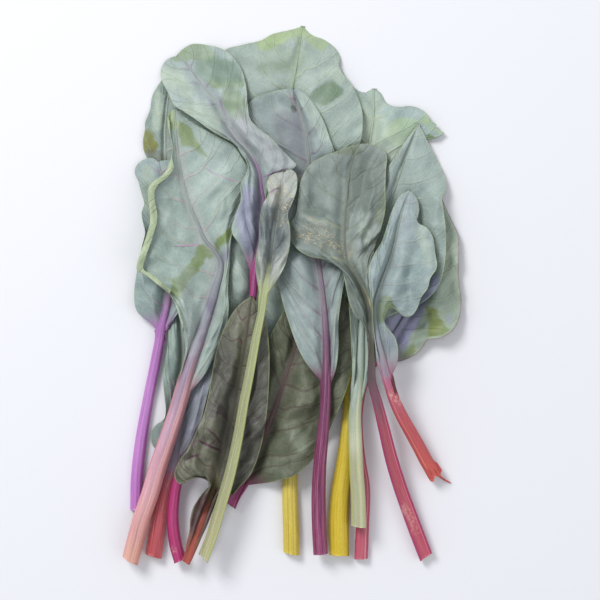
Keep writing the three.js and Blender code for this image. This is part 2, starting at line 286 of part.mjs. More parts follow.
function drape(rows, H) {
  const need = new Float64Array(NX * NY).fill(-Infinity);
  const rowNeed = rows.map(() => 0);
  eachTriangle(rows, (a, b, c, j) => cellsIn(a, b, c, (cell, wa, wb, wc) => {
    const z = H[cell] + LEAF_GAP + wa * a.down + wb * b.down + wc * c.down;
    if (z > need[cell]) need[cell] = z;
    if (a.stiff && b.stiff && c.stiff) { rowNeed[j] = Math.max(rowNeed[j], z); rowNeed[j + 1] = Math.max(rowNeed[j + 1], z); }
  }));
  // the stalk and the midrib bend little: they bridge from one high point to the next
  const mid = rows.map((r) => r[4]);
  const along = [0];
  for (let j = 1; j < mid.length; j++) along.push(along[j - 1] + Math.hypot(mid[j].x - mid[j - 1].x, mid[j].y - mid[j - 1].y));
  let line = mid.map((_, j) => {
    let z = -Infinity;
    for (let i = 0; i < mid.length; i++) z = Math.max(z, rowNeed[i] - (along[i] - along[j]) ** 2 / (2 * STALK_BEND_RADIUS));
    return z;
  });
  for (let n = 0; n < 3; n++) {
    line = line.map((z, j) => Math.max(z, (line[Math.max(0, j - 1)] + 2 * z + line[Math.min(line.length - 1, j + 1)]) / 4));
  }
  rows.forEach((r, j) => r.forEach((p) => { p.line = line[j]; }));
  eachTriangle(rows, (a, b, c) => {
    if (!(a.stiff && b.stiff && c.stiff)) return;
    cellsIn(a, b, c, (cell, wa, wb, wc) => { need[cell] = Math.max(need[cell], wa * a.line + wb * b.line + wc * c.line); });
  });
  const soft = bendOver(need, BLADE_BEND_RADIUS);
  for (const r of rows) {
    for (const p of r) {
      const ix = Math.round((p.x - FLOOR_X[0]) / CELL), iy = Math.round((p.y - FLOOR_Y[0]) / CELL);
      p.z = p.stiff ? p.line : Math.max(soft[iy * NX + ix], 0) + p.lift;
    }
  }
  // a flat facet between draped points may still cut into what is below it: raise its corners until none does
  for (let round = 0; round < 12; round++) {
    let worst = 0;
    eachTriangle(rows, (a, b, c) => {
      let short = 0;
      cellsIn(a, b, c, (cell, wa, wb, wc) => {
        const bottom = wa * (a.z - a.down) + wb * (b.z - b.down) + wc * (c.z - c.down);
        short = Math.max(short, H[cell] + LEAF_GAP - bottom);
      });
      if (short > 0.01) { for (const p of [a, b, c]) p.z += short; worst = Math.max(worst, short); }
    });
    if (worst === 0) break;
  }
  // the leaf's top skin is what the next leaf lies on
  const top = new Float64Array(NX * NY).fill(-Infinity);
  eachTriangle(rows, (a, b, c) => cellsIn(a, b, c, (cell, wa, wb, wc) => {
    top[cell] = Math.max(top[cell], wa * (a.z + a.up) + wb * (b.z + b.up) + wc * (c.z + c.up));
  }));
  for (let iy = 1; iy < NY - 1; iy++) {
    for (let ix = 1; ix < NX - 1; ix++) {
      let z = -Infinity;
      for (let dy = -1; dy <= 1; dy++) for (let dx = -1; dx <= 1; dx++) z = Math.max(z, top[(iy + dy) * NX + ix + dx]);
      const cell = iy * NX + ix;
      if (z > H[cell]) H[cell] = z;
    }
  }
}

// ---- closed solid from the grid -----------------------------------------------------------------------
function solid(rows) {
  const R = rows.length, C = rows[0].length, position = [], index = [];
  for (const r of rows) for (const p of r) position.push(p.x, p.y, p.z + p.up);
  for (const r of rows) for (const p of r) position.push(p.x, p.y, p.z - p.down);
  const T = (j, k) => j * C + k, B = (j, k) => R * C + j * C + k;
  const tri = (a, b, c) => index.push(a, b, c);
  for (let j = 0; j + 1 < R; j++) {
    for (let k = 0; k + 1 < C; k++) {
      if (k < 4) {
        tri(T(j, k), T(j, k + 1), T(j + 1, k + 1)); tri(T(j, k), T(j + 1, k + 1), T(j + 1, k));
        tri(B(j, k), B(j + 1, k + 1), B(j, k + 1)); tri(B(j, k), B(j + 1, k), B(j + 1, k + 1));
      } else {
        tri(T(j, k), T(j, k + 1), T(j + 1, k)); tri(T(j, k + 1), T(j + 1, k + 1), T(j + 1, k));
        tri(B(j, k), B(j + 1, k), B(j, k + 1)); tri(B(j, k + 1), B(j + 1, k), B(j + 1, k + 1));
      }
    }
    tri(T(j, 0), T(j + 1, 0), B(j + 1, 0)); tri(T(j, 0), B(j + 1, 0), B(j, 0));
    tri(T(j, C - 1), B(j + 1, C - 1), T(j + 1, C - 1)); tri(T(j, C - 1), B(j, C - 1), B(j + 1, C - 1));
  }
  for (let k = 0; k + 1 < C; k++) {
    tri(T(0, k), B(0, k), B(0, k + 1)); tri(T(0, k), B(0, k + 1), T(0, k + 1));
    tri(T(R - 1, k), B(R - 1, k + 1), B(R - 1, k)); tri(T(R - 1, k), T(R - 1, k + 1), B(R - 1, k + 1));
  }
  const g = new THREE.BufferGeometry();
  g.setAttribute("position", new THREE.Float32BufferAttribute(position, 3));
  g.setIndex(index);
  g.computeVertexNormals();
  return g;
}

// ---- the bunch ----------------------------------------------------------------------------------------
const bunch = new THREE.Group();
bunch.name = "swiss_chard_bunch";
const H = new Float64Array(NX * NY).fill(-LEAF_GAP);
LEAVES.forEach((leaf, i) => {
  const rows = leafGrid(leaf, i);
  drape(rows, H);
  const mesh = new THREE.Mesh(solid(rows), new THREE.MeshStandardMaterial({ color: COLORS[leaf.slot], roughness: 0.6, metalness: 0 }));
  mesh.name = leaf.name;
  bunch.add(mesh);
});

export default bunch;
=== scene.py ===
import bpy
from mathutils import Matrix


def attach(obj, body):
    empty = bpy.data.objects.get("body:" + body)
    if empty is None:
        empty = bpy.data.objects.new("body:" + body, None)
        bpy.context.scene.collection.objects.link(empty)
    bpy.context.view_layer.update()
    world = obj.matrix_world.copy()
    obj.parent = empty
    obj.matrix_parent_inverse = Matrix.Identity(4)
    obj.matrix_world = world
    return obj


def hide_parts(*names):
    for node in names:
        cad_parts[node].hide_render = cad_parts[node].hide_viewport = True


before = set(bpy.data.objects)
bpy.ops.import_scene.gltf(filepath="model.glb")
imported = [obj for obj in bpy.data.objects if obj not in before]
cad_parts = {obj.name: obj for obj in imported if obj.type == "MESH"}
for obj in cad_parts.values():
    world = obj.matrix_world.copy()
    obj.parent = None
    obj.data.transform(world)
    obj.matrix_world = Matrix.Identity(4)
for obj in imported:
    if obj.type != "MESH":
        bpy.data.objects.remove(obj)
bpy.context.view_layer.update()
# Swiss chard bunch: the looks of its fourteen leaves. Lengths are in millimetres until a mesh is made.
# The leaves are listed from the bottom of the pile to its top, as in the CAD model, and each one is draped
# over everything that lies below it. One leaf is one closed mesh: a stalk with a crescent section that runs
# on into the midrib, and a thin veined, puckered and ruffled blade.
import math

import bpy
import numpy as np

# ---- GEOMETRY BEGINS ----------------------------------------------------------------------------------
LEAF_GAP = 0.45            # air between a leaf and what lies under it
STALK_DEPTH = 0.78         # depth of a stalk as a share of its width
RIB_TIP_WIDTH, RIB_TIP_DEPTH = 1.2, 0.5
RUFFLE, RUFFLE_WAVES = 5.0, 3
SWELL, FOLDS, CRUMPLE = 3.4, 3.2, 2.0
BILLOW, BILLOW_WAVES = 2.8, 2
BLADE_BEND_RADIUS, STALK_BEND_RADIUS = 24.0, 260.0
BLADE_STEP, STALK_STEP = 1.45, 2.6   # spacing of the cross-sections
RIB_COLS, BLADE_COLS = 9, 40         # intervals across half a rib, and from the rib to the margin
CELL = 1.0
X0, Y0, NX, NY = -135.0, -200.0, 271, 401

LEAVES = [
    dict(
        name="leaf_12_coral", slot="leaf_pink_stalk", side="back",
        stalk=[(46.6, -178.2, 9.0), (47.5, -156.1, 9.0), (49.0, -131.3, 7.0), (46.6, -113.2, 6.4), (45.2, -100.5, 6.2), (44.6, -83.1, 5.8),
            (46.6, -68.3, 5.4), (50.3, -56.3, 5.0), (55.0, -45.6, 4.7)],
        rib=[(60.4, -38.9), (71.1, -24.1), (81.1, -5.4), (89.2, 16.1), (94.5, 36.2), (97.2, 56.3), (95.2, 76.4)],
        left=[(57.7, -34.2), (53.7, -20.8), (51.0, -2.0), (52.3, 19.4), (56.3, 41.5), (64.4, 60.3), (77.8, 73.7), (95.2, 76.4)],
        right=[(63.0, -45.6), (71.8, -45.6), (76.4, -44.2), (83.8, -40.2), (88.5, -34.8), (91.2, -30.8), (95.2, -30.2), (99.9, -29.5),
            (107.3, -24.8), (112.0, -17.4), (114.0, -4.7), (112.6, 6.0), (112.0, 22.8), (112.0, 38.9), (109.3, 46.2), (104.6, 56.3), (101.2, 65.0),
            (99.2, 72.4), (95.2, 76.4)],
        veins=9,
        skew=0.4,
        profile=[(0.45, -0.05, 0.07), (-0.3, -0.04, 0.08)],
        bands=[(0.55, 0.07, (240, 190, 180), 0.5), (0.92, 0.15, (176, 60, 96), 0.6), (-0.92, 0.12, (186, 70, 90), 0.5)],
        rib_w=[(0, 4.6), (0.2, 3.0), (0.5, 1.8), (1.0, 0.8)],
        # the large violet patch and the dark spot are painted violet-grey shade in the hollow between the leaves
        patches=[("olive", [(90.2, -7.9), (96.8, -10.3), (97.8, -14.5), (103.4, -22.0), (105.3, -24.3), (100.6, -27.6), (91.2, -28.8),
            (91.7, -20.1)], 0.67, 0.95), ("olive", [(74.3, -43.4), (72.4, -42.6), (78.1, -37.9), (80.9, -32.8), (82.9, -36.0), (83.1, -38.9),
            (79.0, -42.2)], 0.67, 0.7), ("violet", [(59.0, -16.1), (63.7, -4.0), (71.8, -12.1), (81.8, -8.0), (85.8, 1.3), (90.5, 8.0), (93.2, 3.4),
            (89.2, -8.0), (88.5, -12.1), (86.5, -17.4), (84.5, -22.8), (79.8, -26.8), (78.5, -33.5), (74.4, -38.9), (70.4, -34.2), (67.1, -26.8),
            (62.4, -21.4)], 1.07, 0.9)],
        spots=[("pale", [(103.2, 36.2), (107.3, 2.7)], 8.0, 0.35), ("violet", [(104.6, -14.7), (105.9, -18.1)], 2.0, 0.6), ("dark", [(85.8, -30.8),
            (89.8, -17.4)], 5.4, 0.25)],
        creases=[([(96.5, 56.3), (99.9, 29.5), (97.9, 2.7)], 2.5, 5), ([(107.3, 36.2), (109.3, -4.0)], -1.5, 5)],
    ),
    dict(
        name="leaf_10_yellow_wide", slot="leaf_yellow_stalk", side="back",
        stalk=[(31.9, -175.5, 13.1), (31.6, -167.5, 14.1), (31.4, -155.4, 14.4), (32.1, -138.0, 13.4), (35.6, -111.2, 11.1), (37.6, -91.1, 8.7),
            (38.3, -74.4, 7.4), (38.3, -57.6, 6.7), (38.9, -37.5, 6.0), (40.3, -17.4, 5.4)],
        rib=[(40.9, -4.0), (42.9, 29.5), (47.0, 63.0), (51.7, 96.5), (55.0, 119.9), (55.7, 138.7)],
        left=[(36.9, -2.0), (26.9, 7.4), (16.1, 32.8), (8.1, 66.3), (6.8, 103.2), (13.5, 131.3), (23.5, 146.7), (30.9, 152.8), (38.9, 142.0),
            (42.9, 138.0), (46.3, 135.6), (49.6, 135.9), (52.3, 137.5), (55.7, 138.7)],
        right=[(45.0, -1.3), (51.0, 12.7), (62.4, 36.2), (73.8, 63.0), (82.5, 89.8), (87.2, 102.5), (90.5, 105.5), (93.2, 107.7), (95.2, 105.9),
            (97.2, 105.2), (99.9, 106.7), (102.9, 108.3), (98.9, 110.9), (96.5, 111.9), (97.6, 113.6), (96.2, 115.2), (93.5, 115.9), (92.5, 118.3),
            (89.8, 122.6), (85.2, 125.4), (79.5, 126.7), (73.8, 126.0), (67.1, 126.9), (62.4, 131.0), (60.7, 134.8), (58.4, 137.2), (55.7, 138.7)],
        veins=10,
        skew=-0.6,
        fray=0.5,
        profile=[(-0.5, -0.035, 0.06), (0.1, -0.03, 0.05), (0.5, -0.035, 0.06), (-0.2, 0.02, 0.12)],
        bands=[(-0.5, 0.05, (190, 160, 30), 0.5), (0.1, 0.04, (196, 168, 34), 0.4), (0.55, 0.05, (190, 160, 30), 0.5),
            (0.94, 0.16, (158, 146, 66), 0.75)],
        patches=[("olive", [(61.2, 108.9), (66.9, 116.9), (73.8, 119.3), (85.2, 117.5), (90.3, 122.6), (92.5, 118.3), (93.2, 115.9), (85.8, 114.6),
            (77.8, 105.2), (73.8, 99.8), (68.4, 99.2), (63.0, 104.5)], 1.07, 0.85)],
        spots=[("pale", [(40.3, 126.6), (55.7, 109.9), (62.4, 96.5)], 14.7, 0.55), ("bright", [(91.2, 115.2), (99.2, 109.9)], 3.4, 0.3),
            ("pale", [(53.7, 135.3), (59.0, 127.3)], 5.4, 0.5), ("dark", [(45.6, 96.5), (53.7, 89.8)], 5.4, 0.3)],
        creases=[([(47.0, 127.3), (45.6, 103.2), (42.9, 84.4)], -2.0, 4), ([(69.7, 123.3), (63.0, 108.5), (49.6, 89.8)], 2.0, 5)],
    ),
    dict(
        name="leaf_03_red", slot="leaf_red_stalk", side="back",
        stalk=[(-93.2, -176.5, 11.4), (-90.9, -159.5, 10.9), (-87.7, -141.4, 9.2), (-83.7, -126.6, 7.4), (-81.0, -117.9, 6.0)],
        rib=[(-79.0, -109.2), (-75.0, -77.7), (-73.0, -44.2), (-75.0, -4.0), (-80.3, 36.2), (-84.4, 76.4), (-85.7, 109.9), (-81.7, 148.7)],
        left=[(-82.3, -108.5), (-88.4, -105.9), (-93.1, -103.2), (-95.1, -97.8), (-94.4, -92.5), (-91.1, -87.8), (-86.4, -85.1), (-85.0, -79.1),
            (-85.7, -67.7), (-86.4, -56.3), (-84.4, -40.9), (-83.0, -29.5), (-84.4, -10.7), (-89.7, 9.4), (-93.7, 36.2), (-95.1, 63.0),
            (-95.7, 86.4), (-99.8, 96.5), (-100.4, 103.2), (-99.1, 111.2), (-99.1, 115.2), (-95.7, 124.6), (-94.4, 133.3), (-90.4, 140.7),
            (-87.0, 145.4), (-81.7, 148.7)],
        right=[(-75.0, -108.5), (-66.9, -100.5), (-62.9, -91.1), (-57.6, -71.0), (-50.9, -44.2), (-44.2, -17.4), (-40.1, 16.1), (-38.8, 49.6),
            (-40.1, 83.1), (-44.2, 113.2), (-56.2, 136.7), (-68.3, 146.1), (-81.7, 148.7)],
        veins=14,
        skew=-1.0,
        profile=[(-0.35, -0.06, 0.07), (0.35, -0.05, 0.07)],
        bands=[(-0.35, 0.05, (160, 56, 50), 0.6), (0.4, 0.06, (168, 60, 60), 0.5), (0.85, 0.15, (226, 130, 130), 0.5)],
        # the violet patch is painted violet-grey shade in the hollow between leaf 02's stalk and leaf 05
        patches=[("dark", [(-99.1, 97.2), (-93.1, 97.8), (-87.0, 95.1), (-83.0, 89.8), (-89.7, 87.8), (-96.4, 89.8)], 0.94, 0.6),
            ("violet", [(-85.7, -118.6), (-82.3, -105.9), (-78.3, -95.1), (-75.0, -84.4), (-70.3, -72.4), (-66.9, -60.3), (-58.2, -52.3),
            (-49.5, -52.3), (-52.2, -67.7), (-57.6, -83.1), (-62.9, -97.8), (-68.3, -105.9), (-75.0, -113.9), (-79.0, -119.3)], 2.01, 0.85)],
        spots=[("olive", [(-97.8, 105.9), (-95.7, 98.5)], 5.4, 0.95), ("pale", [(-89.7, 133.3), (-91.1, 113.2)], 4.7, 0.5)],
        creases=[([(-89.7, 136.7), (-88.4, 113.2), (-83.0, 89.8)], 1.6, 3)],
    ),
    dict(
        name="leaf_01_violet", slot="leaf_violet_stalk", side="back",
        stalk=[(-105.0, -145.4, 8.0), (-104.5, -124.6, 8.4), (-101.6, -97.8, 7.8), (-96.9, -71.0, 7.2), (-92.9, -50.9, 7.0), (-89.7, -34.2, 6.7)],
        rib=[(-88.4, -25.5), (-83.0, -2.7), (-80.3, 22.8), (-81.7, 46.2), (-86.4, 69.7), (-89.7, 89.8)],
        left=[(-91.1, -24.1), (-95.1, -19.4), (-99.8, -16.1), (-103.8, -12.1), (-105.8, -6.0), (-106.1, 2.7), (-105.1, 10.7), (-103.1, 21.4),
            (-100.4, 32.8), (-98.4, 41.5), (-99.8, 48.2), (-100.8, 54.9), (-99.1, 61.0), (-100.4, 65.7), (-101.8, 71.0), (-103.1, 75.7),
            (-105.8, 81.1), (-105.5, 85.1), (-102.4, 89.1), (-95.7, 91.8), (-89.7, 89.8)],
        right=[(-85.7, -24.8), (-79.0, -16.1), (-69.6, -4.0), (-58.9, 16.1), (-54.9, 39.5), (-58.2, 63.0), (-68.3, 81.7), (-80.3, 89.8),
            (-89.7, 89.8)],
        veins=9,
        skew=0.2,
        profile=[(0.3, -0.05, 0.08)],
        # the pale bands are painted highlights on the rounded stalk, and the wide dark band on its right side is
        # painted shade
        bands=[(0.75, 0.25, (160, 80, 156), 0.6), (-0.2, 0.1, (222, 150, 214), 0.4), (-0.9, 0.1, (214, 130, 206), 0.4)],
        spots=[("pale", [(-97.8, 83.1), (-95.1, 52.9)], 6.0, 0.5), ("dark", [(-103.1, 1.3), (-96.4, -9.4), (-88.4, -18.8)], 8.7, 0.28)],
        creases=[],
    ),
    dict(
        name="leaf_08_yellow", slot="leaf_yellow_stalk", side="back",
        stalk=[(-0.3, -174.9, 10.7), (-0.6, -158.1, 11.1), (-1.3, -138.0, 10.4), (-1.3, -117.9, 9.4), (-0.6, -101.2, 8.4)],
        rib=[(0.1, -87.8), (1.4, -57.6), (0.1, -24.1), (-2.6, 16.1), (-5.3, 56.3), (-4.6, 96.5), (-0.6, 133.3), (4.1, 160.1), (7.4, 180.9)],
        left=[(-4.6, -87.1), (-18.7, -74.4), (-32.1, -59.0), (-41.5, -37.5), (-45.5, -7.4), (-47.5, 22.8), (-48.8, 52.9), (-50.9, 83.1),
            (-52.9, 109.9), (-53.5, 136.7), (-50.9, 155.4), (-44.8, 164.8), (-34.8, 167.8), (-20.0, 171.5), (-13.3, 175.5), (-1.3, 178.2),
            (7.4, 180.9)],
        right=[(4.8, -87.1), (16.1, -73.7), (26.9, -54.9), (33.6, -29.5), (36.9, -0.7), (38.3, 29.5), (38.3, 56.3), (38.9, 77.7), (41.6, 92.5),
            (46.3, 103.2), (47.6, 113.9), (47.0, 124.6), (43.6, 134.7), (38.3, 143.4), (33.6, 149.4), (31.6, 154.1), (32.2, 159.5), (29.5, 165.5),
            (22.2, 171.5), (13.5, 174.9), (7.4, 180.9)],
        veins=14,
        skew=-1.2,
        ruffle=0.9,
        profile=[(-0.33, -0.07, 0.06), (0.3, -0.06, 0.06), (0, 0.03, 0.2)],
        bands=[(-0.33, 0.05, (176, 146, 24), 0.7), (0.3, 0.05, (186, 156, 30), 0.6)],
        patches=[("dark", [(11.5, 132.7), (15.5, 138.0), (21.5, 142.0), (27.5, 143.4), (31.6, 140.7), (34.9, 138.0), (34.2, 134.7), (29.5, 131.3),
            (22.8, 126.0), (17.5, 128.0), (13.5, 130.7)], 0.94, 0.85)],
        spots=[("bright", [(-18.7, 168.8), (-10.7, 172.9), (-1.3, 176.2), (5.4, 177.6)], 6.7, 0.75), ("bright", [(12.1, 174.9),
            (20.2, 169.5)], 6.0, 0.55), ("dark", [(-13.3, 162.1), (2.7, 159.5)], 8.0, 0.22), ("pale", [(25.5, 150.1), (32.2, 146.1)], 5.4, 0.4),
            ("pale", [(-14.7, 156.8), (5.4, 158.1)], 9.4, 0.35), ("olive", [(-20.0, 151.4), (-4.6, 152.8)], 4.0, 0.35), ("pale", [(5.4, 130.0),
            (17.5, 109.9)], 8.0, 0.35)],
        creases=[([(-34.8, 155.4), (-14.7, 150.1), (5.4, 152.8)], -1.6, 5), ([(4.1, 130.0), (13.5, 111.2), (22.8, 99.2)], 2.4, 4), ([(5.4, 166.8),
            (-1.3, 156.8), (-20.0, 158.1)], 1.5, 6)],
    ),
    dict(
        name="leaf_07_dark_short", slot="leaf_dark", side="face",
        stalk=[(-40.8, -142.7, 6.7), (-37.5, -134.7, 6.7)],
        rib=[(-33.4, -126.6), (-23.4, -104.5), (-13.3, -81.1), (-2.6, -50.9), (6.8, -20.8), (14.1, 6.7)],
        left=[(-36.8, -126.0), (-38.1, -112.6), (-37.5, -91.1), (-32.8, -71.0), (-25.4, -50.9), (-16.0, -30.8), (-5.3, -10.7), (4.1, 2.7),
            (14.1, 6.7)],
        right=[(-29.4, -128.6), (-11.3, -125.3), (3.4, -119.9), (14.8, -109.9), (22.8, -97.2), (28.2, -83.8), (33.6, -71.0), (38.3, -57.6),
            (40.9, -44.9), (41.6, -34.2), (40.3, -18.8), (36.2, -4.0), (28.2, 4.0), (21.5, 6.7), (14.1, 6.7)],
        veins=9,
        skew=-0.8,
        crumple=1.3,
        wander=0.5,
        marks=[([(-30.8, -89.8), (-24.1, -85.1), (-15.3, -78.4)], 0.8)],
        bands=[(0.5, 0.12, (200, 120, 160), 0.5)],
        spots=[("pale", [(5.4, -97.8), (17.5, -105.9)], 8.0, 0.25), ("dark", [(-20.0, -71.0), (-24.1, -97.8)], 6.7, 0.35)],
        creases=[([(-20.0, -91.1), (-1.3, -79.1), (12.1, -71.0)], 1.8, 4), ([(5.4, -97.8), (22.2, -91.1)], 1.5, 6)],
    ),
    dict(
        name="leaf_11_pale_lime", slot="leaf_lime_stalk", side="back",
        stalk=[(44.6, -155.4, 10.1), (44.3, -138.0, 9.7), (43.1, -117.9, 9.4), (42.3, -97.8, 9.0), (42.0, -81.1, 8.0)],
        rib=[(42.9, -71.0), (45.6, -50.9), (46.3, -30.8), (48.3, -4.0), (52.3, 19.4), (60.4, 46.2), (69.7, 73.0), (77.8, 96.5), (85.2, 114.6)],
        left=[(38.9, -69.7), (40.3, -50.9), (39.6, -34.2), (38.9, -18.8), (37.6, 1.3), (37.6, 22.8), (41.6, 42.9), (50.3, 63.0), (61.0, 81.1),
            (69.1, 91.8), (75.1, 101.2), (80.5, 108.5), (85.2, 114.6)],
        right=[(47.0, -69.7), (51.7, -50.9), (51.7, -34.2), (55.7, -20.8), (69.1, -14.1), (84.5, -7.4), (95.9, 2.7), (101.2, 16.1), (103.2, 32.8),
            (101.9, 52.9), (100.6, 65.0), (103.2, 69.7), (103.2, 75.7), (100.6, 83.8), (97.2, 91.8), (92.5, 99.8), (89.2, 107.2), (85.2, 114.6)],
        veins=12,
        skew=-0.7,
        profile=[(0.0, -0.05, 0.05), (0.45, 0.03, 0.2)],
        bands=[(0.0, 0.04, (176, 186, 110), 0.5), (0.55, 0.4, (222, 226, 178), 0.5), (-0.9, 0.15, (186, 196, 120), 0.5)],
        # the pale spot at the foot of the blade is painted light, and the violet patch is painted bluish shade on the
        # strip under leaf 14's lobe
        spots=[("pale", [(75.1, 95.1), (85.8, 84.4), (92.5, 75.0)], 9.4, 0.35), ("dark", [(88.5, 65.7), (95.2, 53.6)], 6.7, 0.2),
            ("pale", [(39.6, -73.7), (40.3, -60.3)], 4.0, 0.9), ("pale", [(44.3, -49.6), (45.6, -24.1)], 2.7, 0.45), ("dark", [(38.9, -21.4),
            (38.9, -40.2)], 2.7, 0.35)],
        patches=[("violet", [(93.2, 16.1), (97.9, 9.4), (95.2, -2.0), (89.2, -10.1), (81.8, -13.4), (83.1, -6.0), (90.5, 2.0)], 1.21, 0.85),
            ("dark", [(71.8, 97.8), (77.8, 99.2), (81.1, 84.4), (79.8, 63.0), (75.1, 52.3), (67.1, 50.9), (63.7, 63.0), (65.7, 77.7)], 2.68, 0.26)],
        creases=[([(77.8, 103.2), (68.4, 86.4), (63.0, 69.7)], 1.1, 5), ([(92.5, 89.8), (96.5, 63.0), (95.2, 36.2)], 1.5, 6), ([(80.5, 56.3),
            (88.5, 39.5), (85.8, 21.4)], -1.8, 5)],
    ),
    dict(
        name="leaf_09_purple", slot="leaf_purple_stalk", side="back",
        stalk=[(19.2, -174.2, 9.7), (18.2, -154.8, 9.7), (17.8, -134.7, 9.4), (18.8, -111.2, 8.4), (20.8, -91.1, 7.4), (22.2, -74.4, 6.7)],
        rib=[(22.8, -59.0), (22.8, -27.5), (19.5, 9.4), (14.1, 46.2), (10.8, 73.0), (11.5, 93.1), (7.4, 116.6), (0.7, 138.0)],
        left=[(18.8, -57.6), (6.8, -41.5), (-2.6, -17.4), (-10.0, 9.4), (-16.0, 36.2), (-20.7, 59.6), (-24.7, 83.1), (-28.7, 99.8), (-32.1, 113.2),
            (-32.1, 124.0), (-26.7, 131.0), (-18.7, 135.0), (-9.3, 137.3), (0.7, 138.0)],
        right=[(26.2, -59.0), (29.5, -48.2), (30.9, -34.2), (30.9, -18.8), (32.9, -2.7), (36.2, 14.7), (38.9, 36.2), (38.3, 59.6), (32.9, 83.1),
            (26.2, 101.8), (22.2, 113.9), (17.5, 123.3), (11.5, 132.0), (6.1, 138.0), (0.7, 138.0)],
        veins=11,
        marks=[([(-2.6, 136.7), (-0.6, 131.3), (0.7, 126.0), (6.1, 119.3), (10.1, 115.9)], 0.65)],
        skew=0.2,
        profile=[(-0.6, -0.06, 0.07), (-0.2, 0.04, 0.08), (0.25, -0.07, 0.07), (0.6, 0.04, 0.08)],
        # the dark bands sit in the stalk's grooves and the pale bands on its ridges: partly its own streaking, partly
        # painted shade and painted highlights
        bands=[(-0.6, 0.06, (96, 40, 76), 0.7), (-0.2, 0.05, (190, 130, 160), 0.5), (0.25, 0.06, (96, 44, 84), 0.7),
            (0.6, 0.06, (176, 116, 150), 0.5)],
        # the violet patch and the wide violet spot are painted shade in the hollows beside the leaves above; the pale
        # patch is a painted highlight along a fold near the tip
        patches=[("violet", [(-12.7, 119.9), (-4.6, 124.0), (2.7, 121.9), (7.4, 116.6), (10.1, 103.2), (8.8, 91.8), (-1.3, 93.1), (-8.0, 99.8),
            (-12.0, 109.9)], 2.01, 0.75), ("pale", [(3.4, 137.3), (7.4, 135.3), (13.5, 129.3), (18.8, 121.3), (22.8, 113.2), (25.5, 102.5),
            (20.2, 101.2), (16.1, 109.9), (10.8, 119.9), (5.4, 128.0)], 0.94, 0.75)],
        spots=[("violet", [(5.4, 96.5), (2.7, 69.7)], 16.1, 0.3), ("dark", [(0.7, 125.3), (1.4, 123.3)], 1.6, 0.8)],
        creases=[([(-4.0, 135.3), (6.8, 127.3), (14.8, 111.2)], 2.2, 4)],
    ),
    dict(
        name="leaf_02_pink", slot="leaf_pink_stalk", side="back",
        stalk=[(-108.5, -178.9, 11.4), (-101.1, -151.4, 11.7), (-95.5, -135.3, 11.9), (-90.0, -116.6, 11.9), (-82.2, -93.8, 11.3),
            (-77.0, -77.7, 10.1)],
        rib=[(-73.0, -63.7), (-67.9, -46.9), (-62.9, -32.2), (-57.6, -16.1), (-51.5, 2.7), (-47.5, 20.1), (-51.5, 28.8), (-58.2, 36.2),
            (-63.6, 48.2), (-68.3, 58.3), (-72.3, 71.0), (-75.6, 86.4), (-77.7, 103.2), (-79.0, 125.3)],
        left=[(-78.3, -62.3), (-74.3, -52.3), (-71.6, -38.9), (-73.0, -25.5), (-76.3, -9.4), (-81.0, -0.7), (-88.4, 6.0), (-96.4, 12.1),
            (-103.1, 16.1), (-101.1, 25.5), (-97.1, 37.5), (-94.4, 46.9), (-94.4, 54.9), (-95.7, 63.0), (-95.7, 69.7), (-92.4, 75.0), (-86.4, 79.7),
            (-82.3, 87.1), (-80.3, 95.8), (-81.0, 103.9), (-83.0, 110.6), (-83.7, 117.2), (-81.7, 123.3), (-79.0, 125.3)],
        right=[(-67.6, -65.0), (-58.9, -54.3), (-51.5, -40.9), (-44.2, -22.8), (-42.1, -8.0), (-42.8, 2.7), (-41.5, 21.4), (-40.1, 39.5),
            (-36.1, 56.3), (-34.1, 66.3), (-34.1, 75.0), (-28.7, 81.7), (-33.4, 91.1), (-39.5, 99.8), (-51.5, 106.5), (-64.3, 113.9),
            (-73.0, 119.9), (-79.0, 125.3)],
        veins=11,
        skew=-1.6,
        fray=0.4,
        profile=[(-0.35, 0.04, 0.25), (0.25, -0.09, 0.07), (0.62, 0.04, 0.22)],
        rolls=[(-1, 0.3, 0.985, 2.6, 1.9), (-1, 0.17, 0.3, 0.8, 0.9)],
        rib_w=[(0, 8.2), (0.28, 6.6), (0.4, 4.6), (0.47, 2.2), (0.7, 1.4), (1.0, 0.8)],
        marks=[([(-61.6, 87.8), (-50.2, 79.7), (-40.8, 76.4), (-34.1, 75.0)], 0.9), ([(-58.9, 33.5), (-70.3, 32.2), (-78.3, 32.8)], 0.9)],
        # the pale band at 0.2 is a painted highlight along the stalk's crease, and the thin dark band at 0.28 painted
        # shade in it
        bands=[(0.62, 0.38, (224, 150, 134), 0.4), (0.2, 0.1, (246, 206, 200), 0.4), (-0.95, 0.1, (206, 136, 150), 0.5),
            (0.28, 0.03, (176, 104, 104), 0.45)],
        # the pale patch on the lower blade is painted light, and the violet spot beside the midrib is painted shade
        patches=[("pale", [(-77.0, -1.3), (-68.3, 1.3), (-57.6, -4.0), (-55.5, -14.7), (-58.9, -25.5), (-63.6, -37.5), (-68.3, -46.9),
            (-72.3, -38.9), (-75.6, -24.1), (-78.3, -12.1)], 2.01, 0.6), ("olive", [(-76.3, 117.2), (-68.3, 111.9), (-64.3, 104.5), (-60.2, 97.8),
            (-56.2, 91.8), (-62.2, 94.5), (-68.3, 99.2), (-74.3, 99.8), (-77.0, 108.5)], 0.8, 0.85)],
        spots=[("olive", [(-58.9, 29.5), (-62.2, 21.4), (-68.3, 12.7), (-73.0, 2.7)], 4.0, 0.95), ("olive", [(-73.0, 8.0),
            (-74.3, -1.3)], 3.4, 0.9), ("olive", [(-53.5, 26.8), (-48.8, 33.5), (-41.5, 40.2), (-34.1, 46.2)], 3.0, 0.95),
            ("bright", [(-81.7, 121.9), (-79.7, 113.9)], 4.0, 0.7), ("violet", [(-46.8, 21.4), (-39.5, 31.5), (-34.8, 41.5)], 4.0, 0.5),
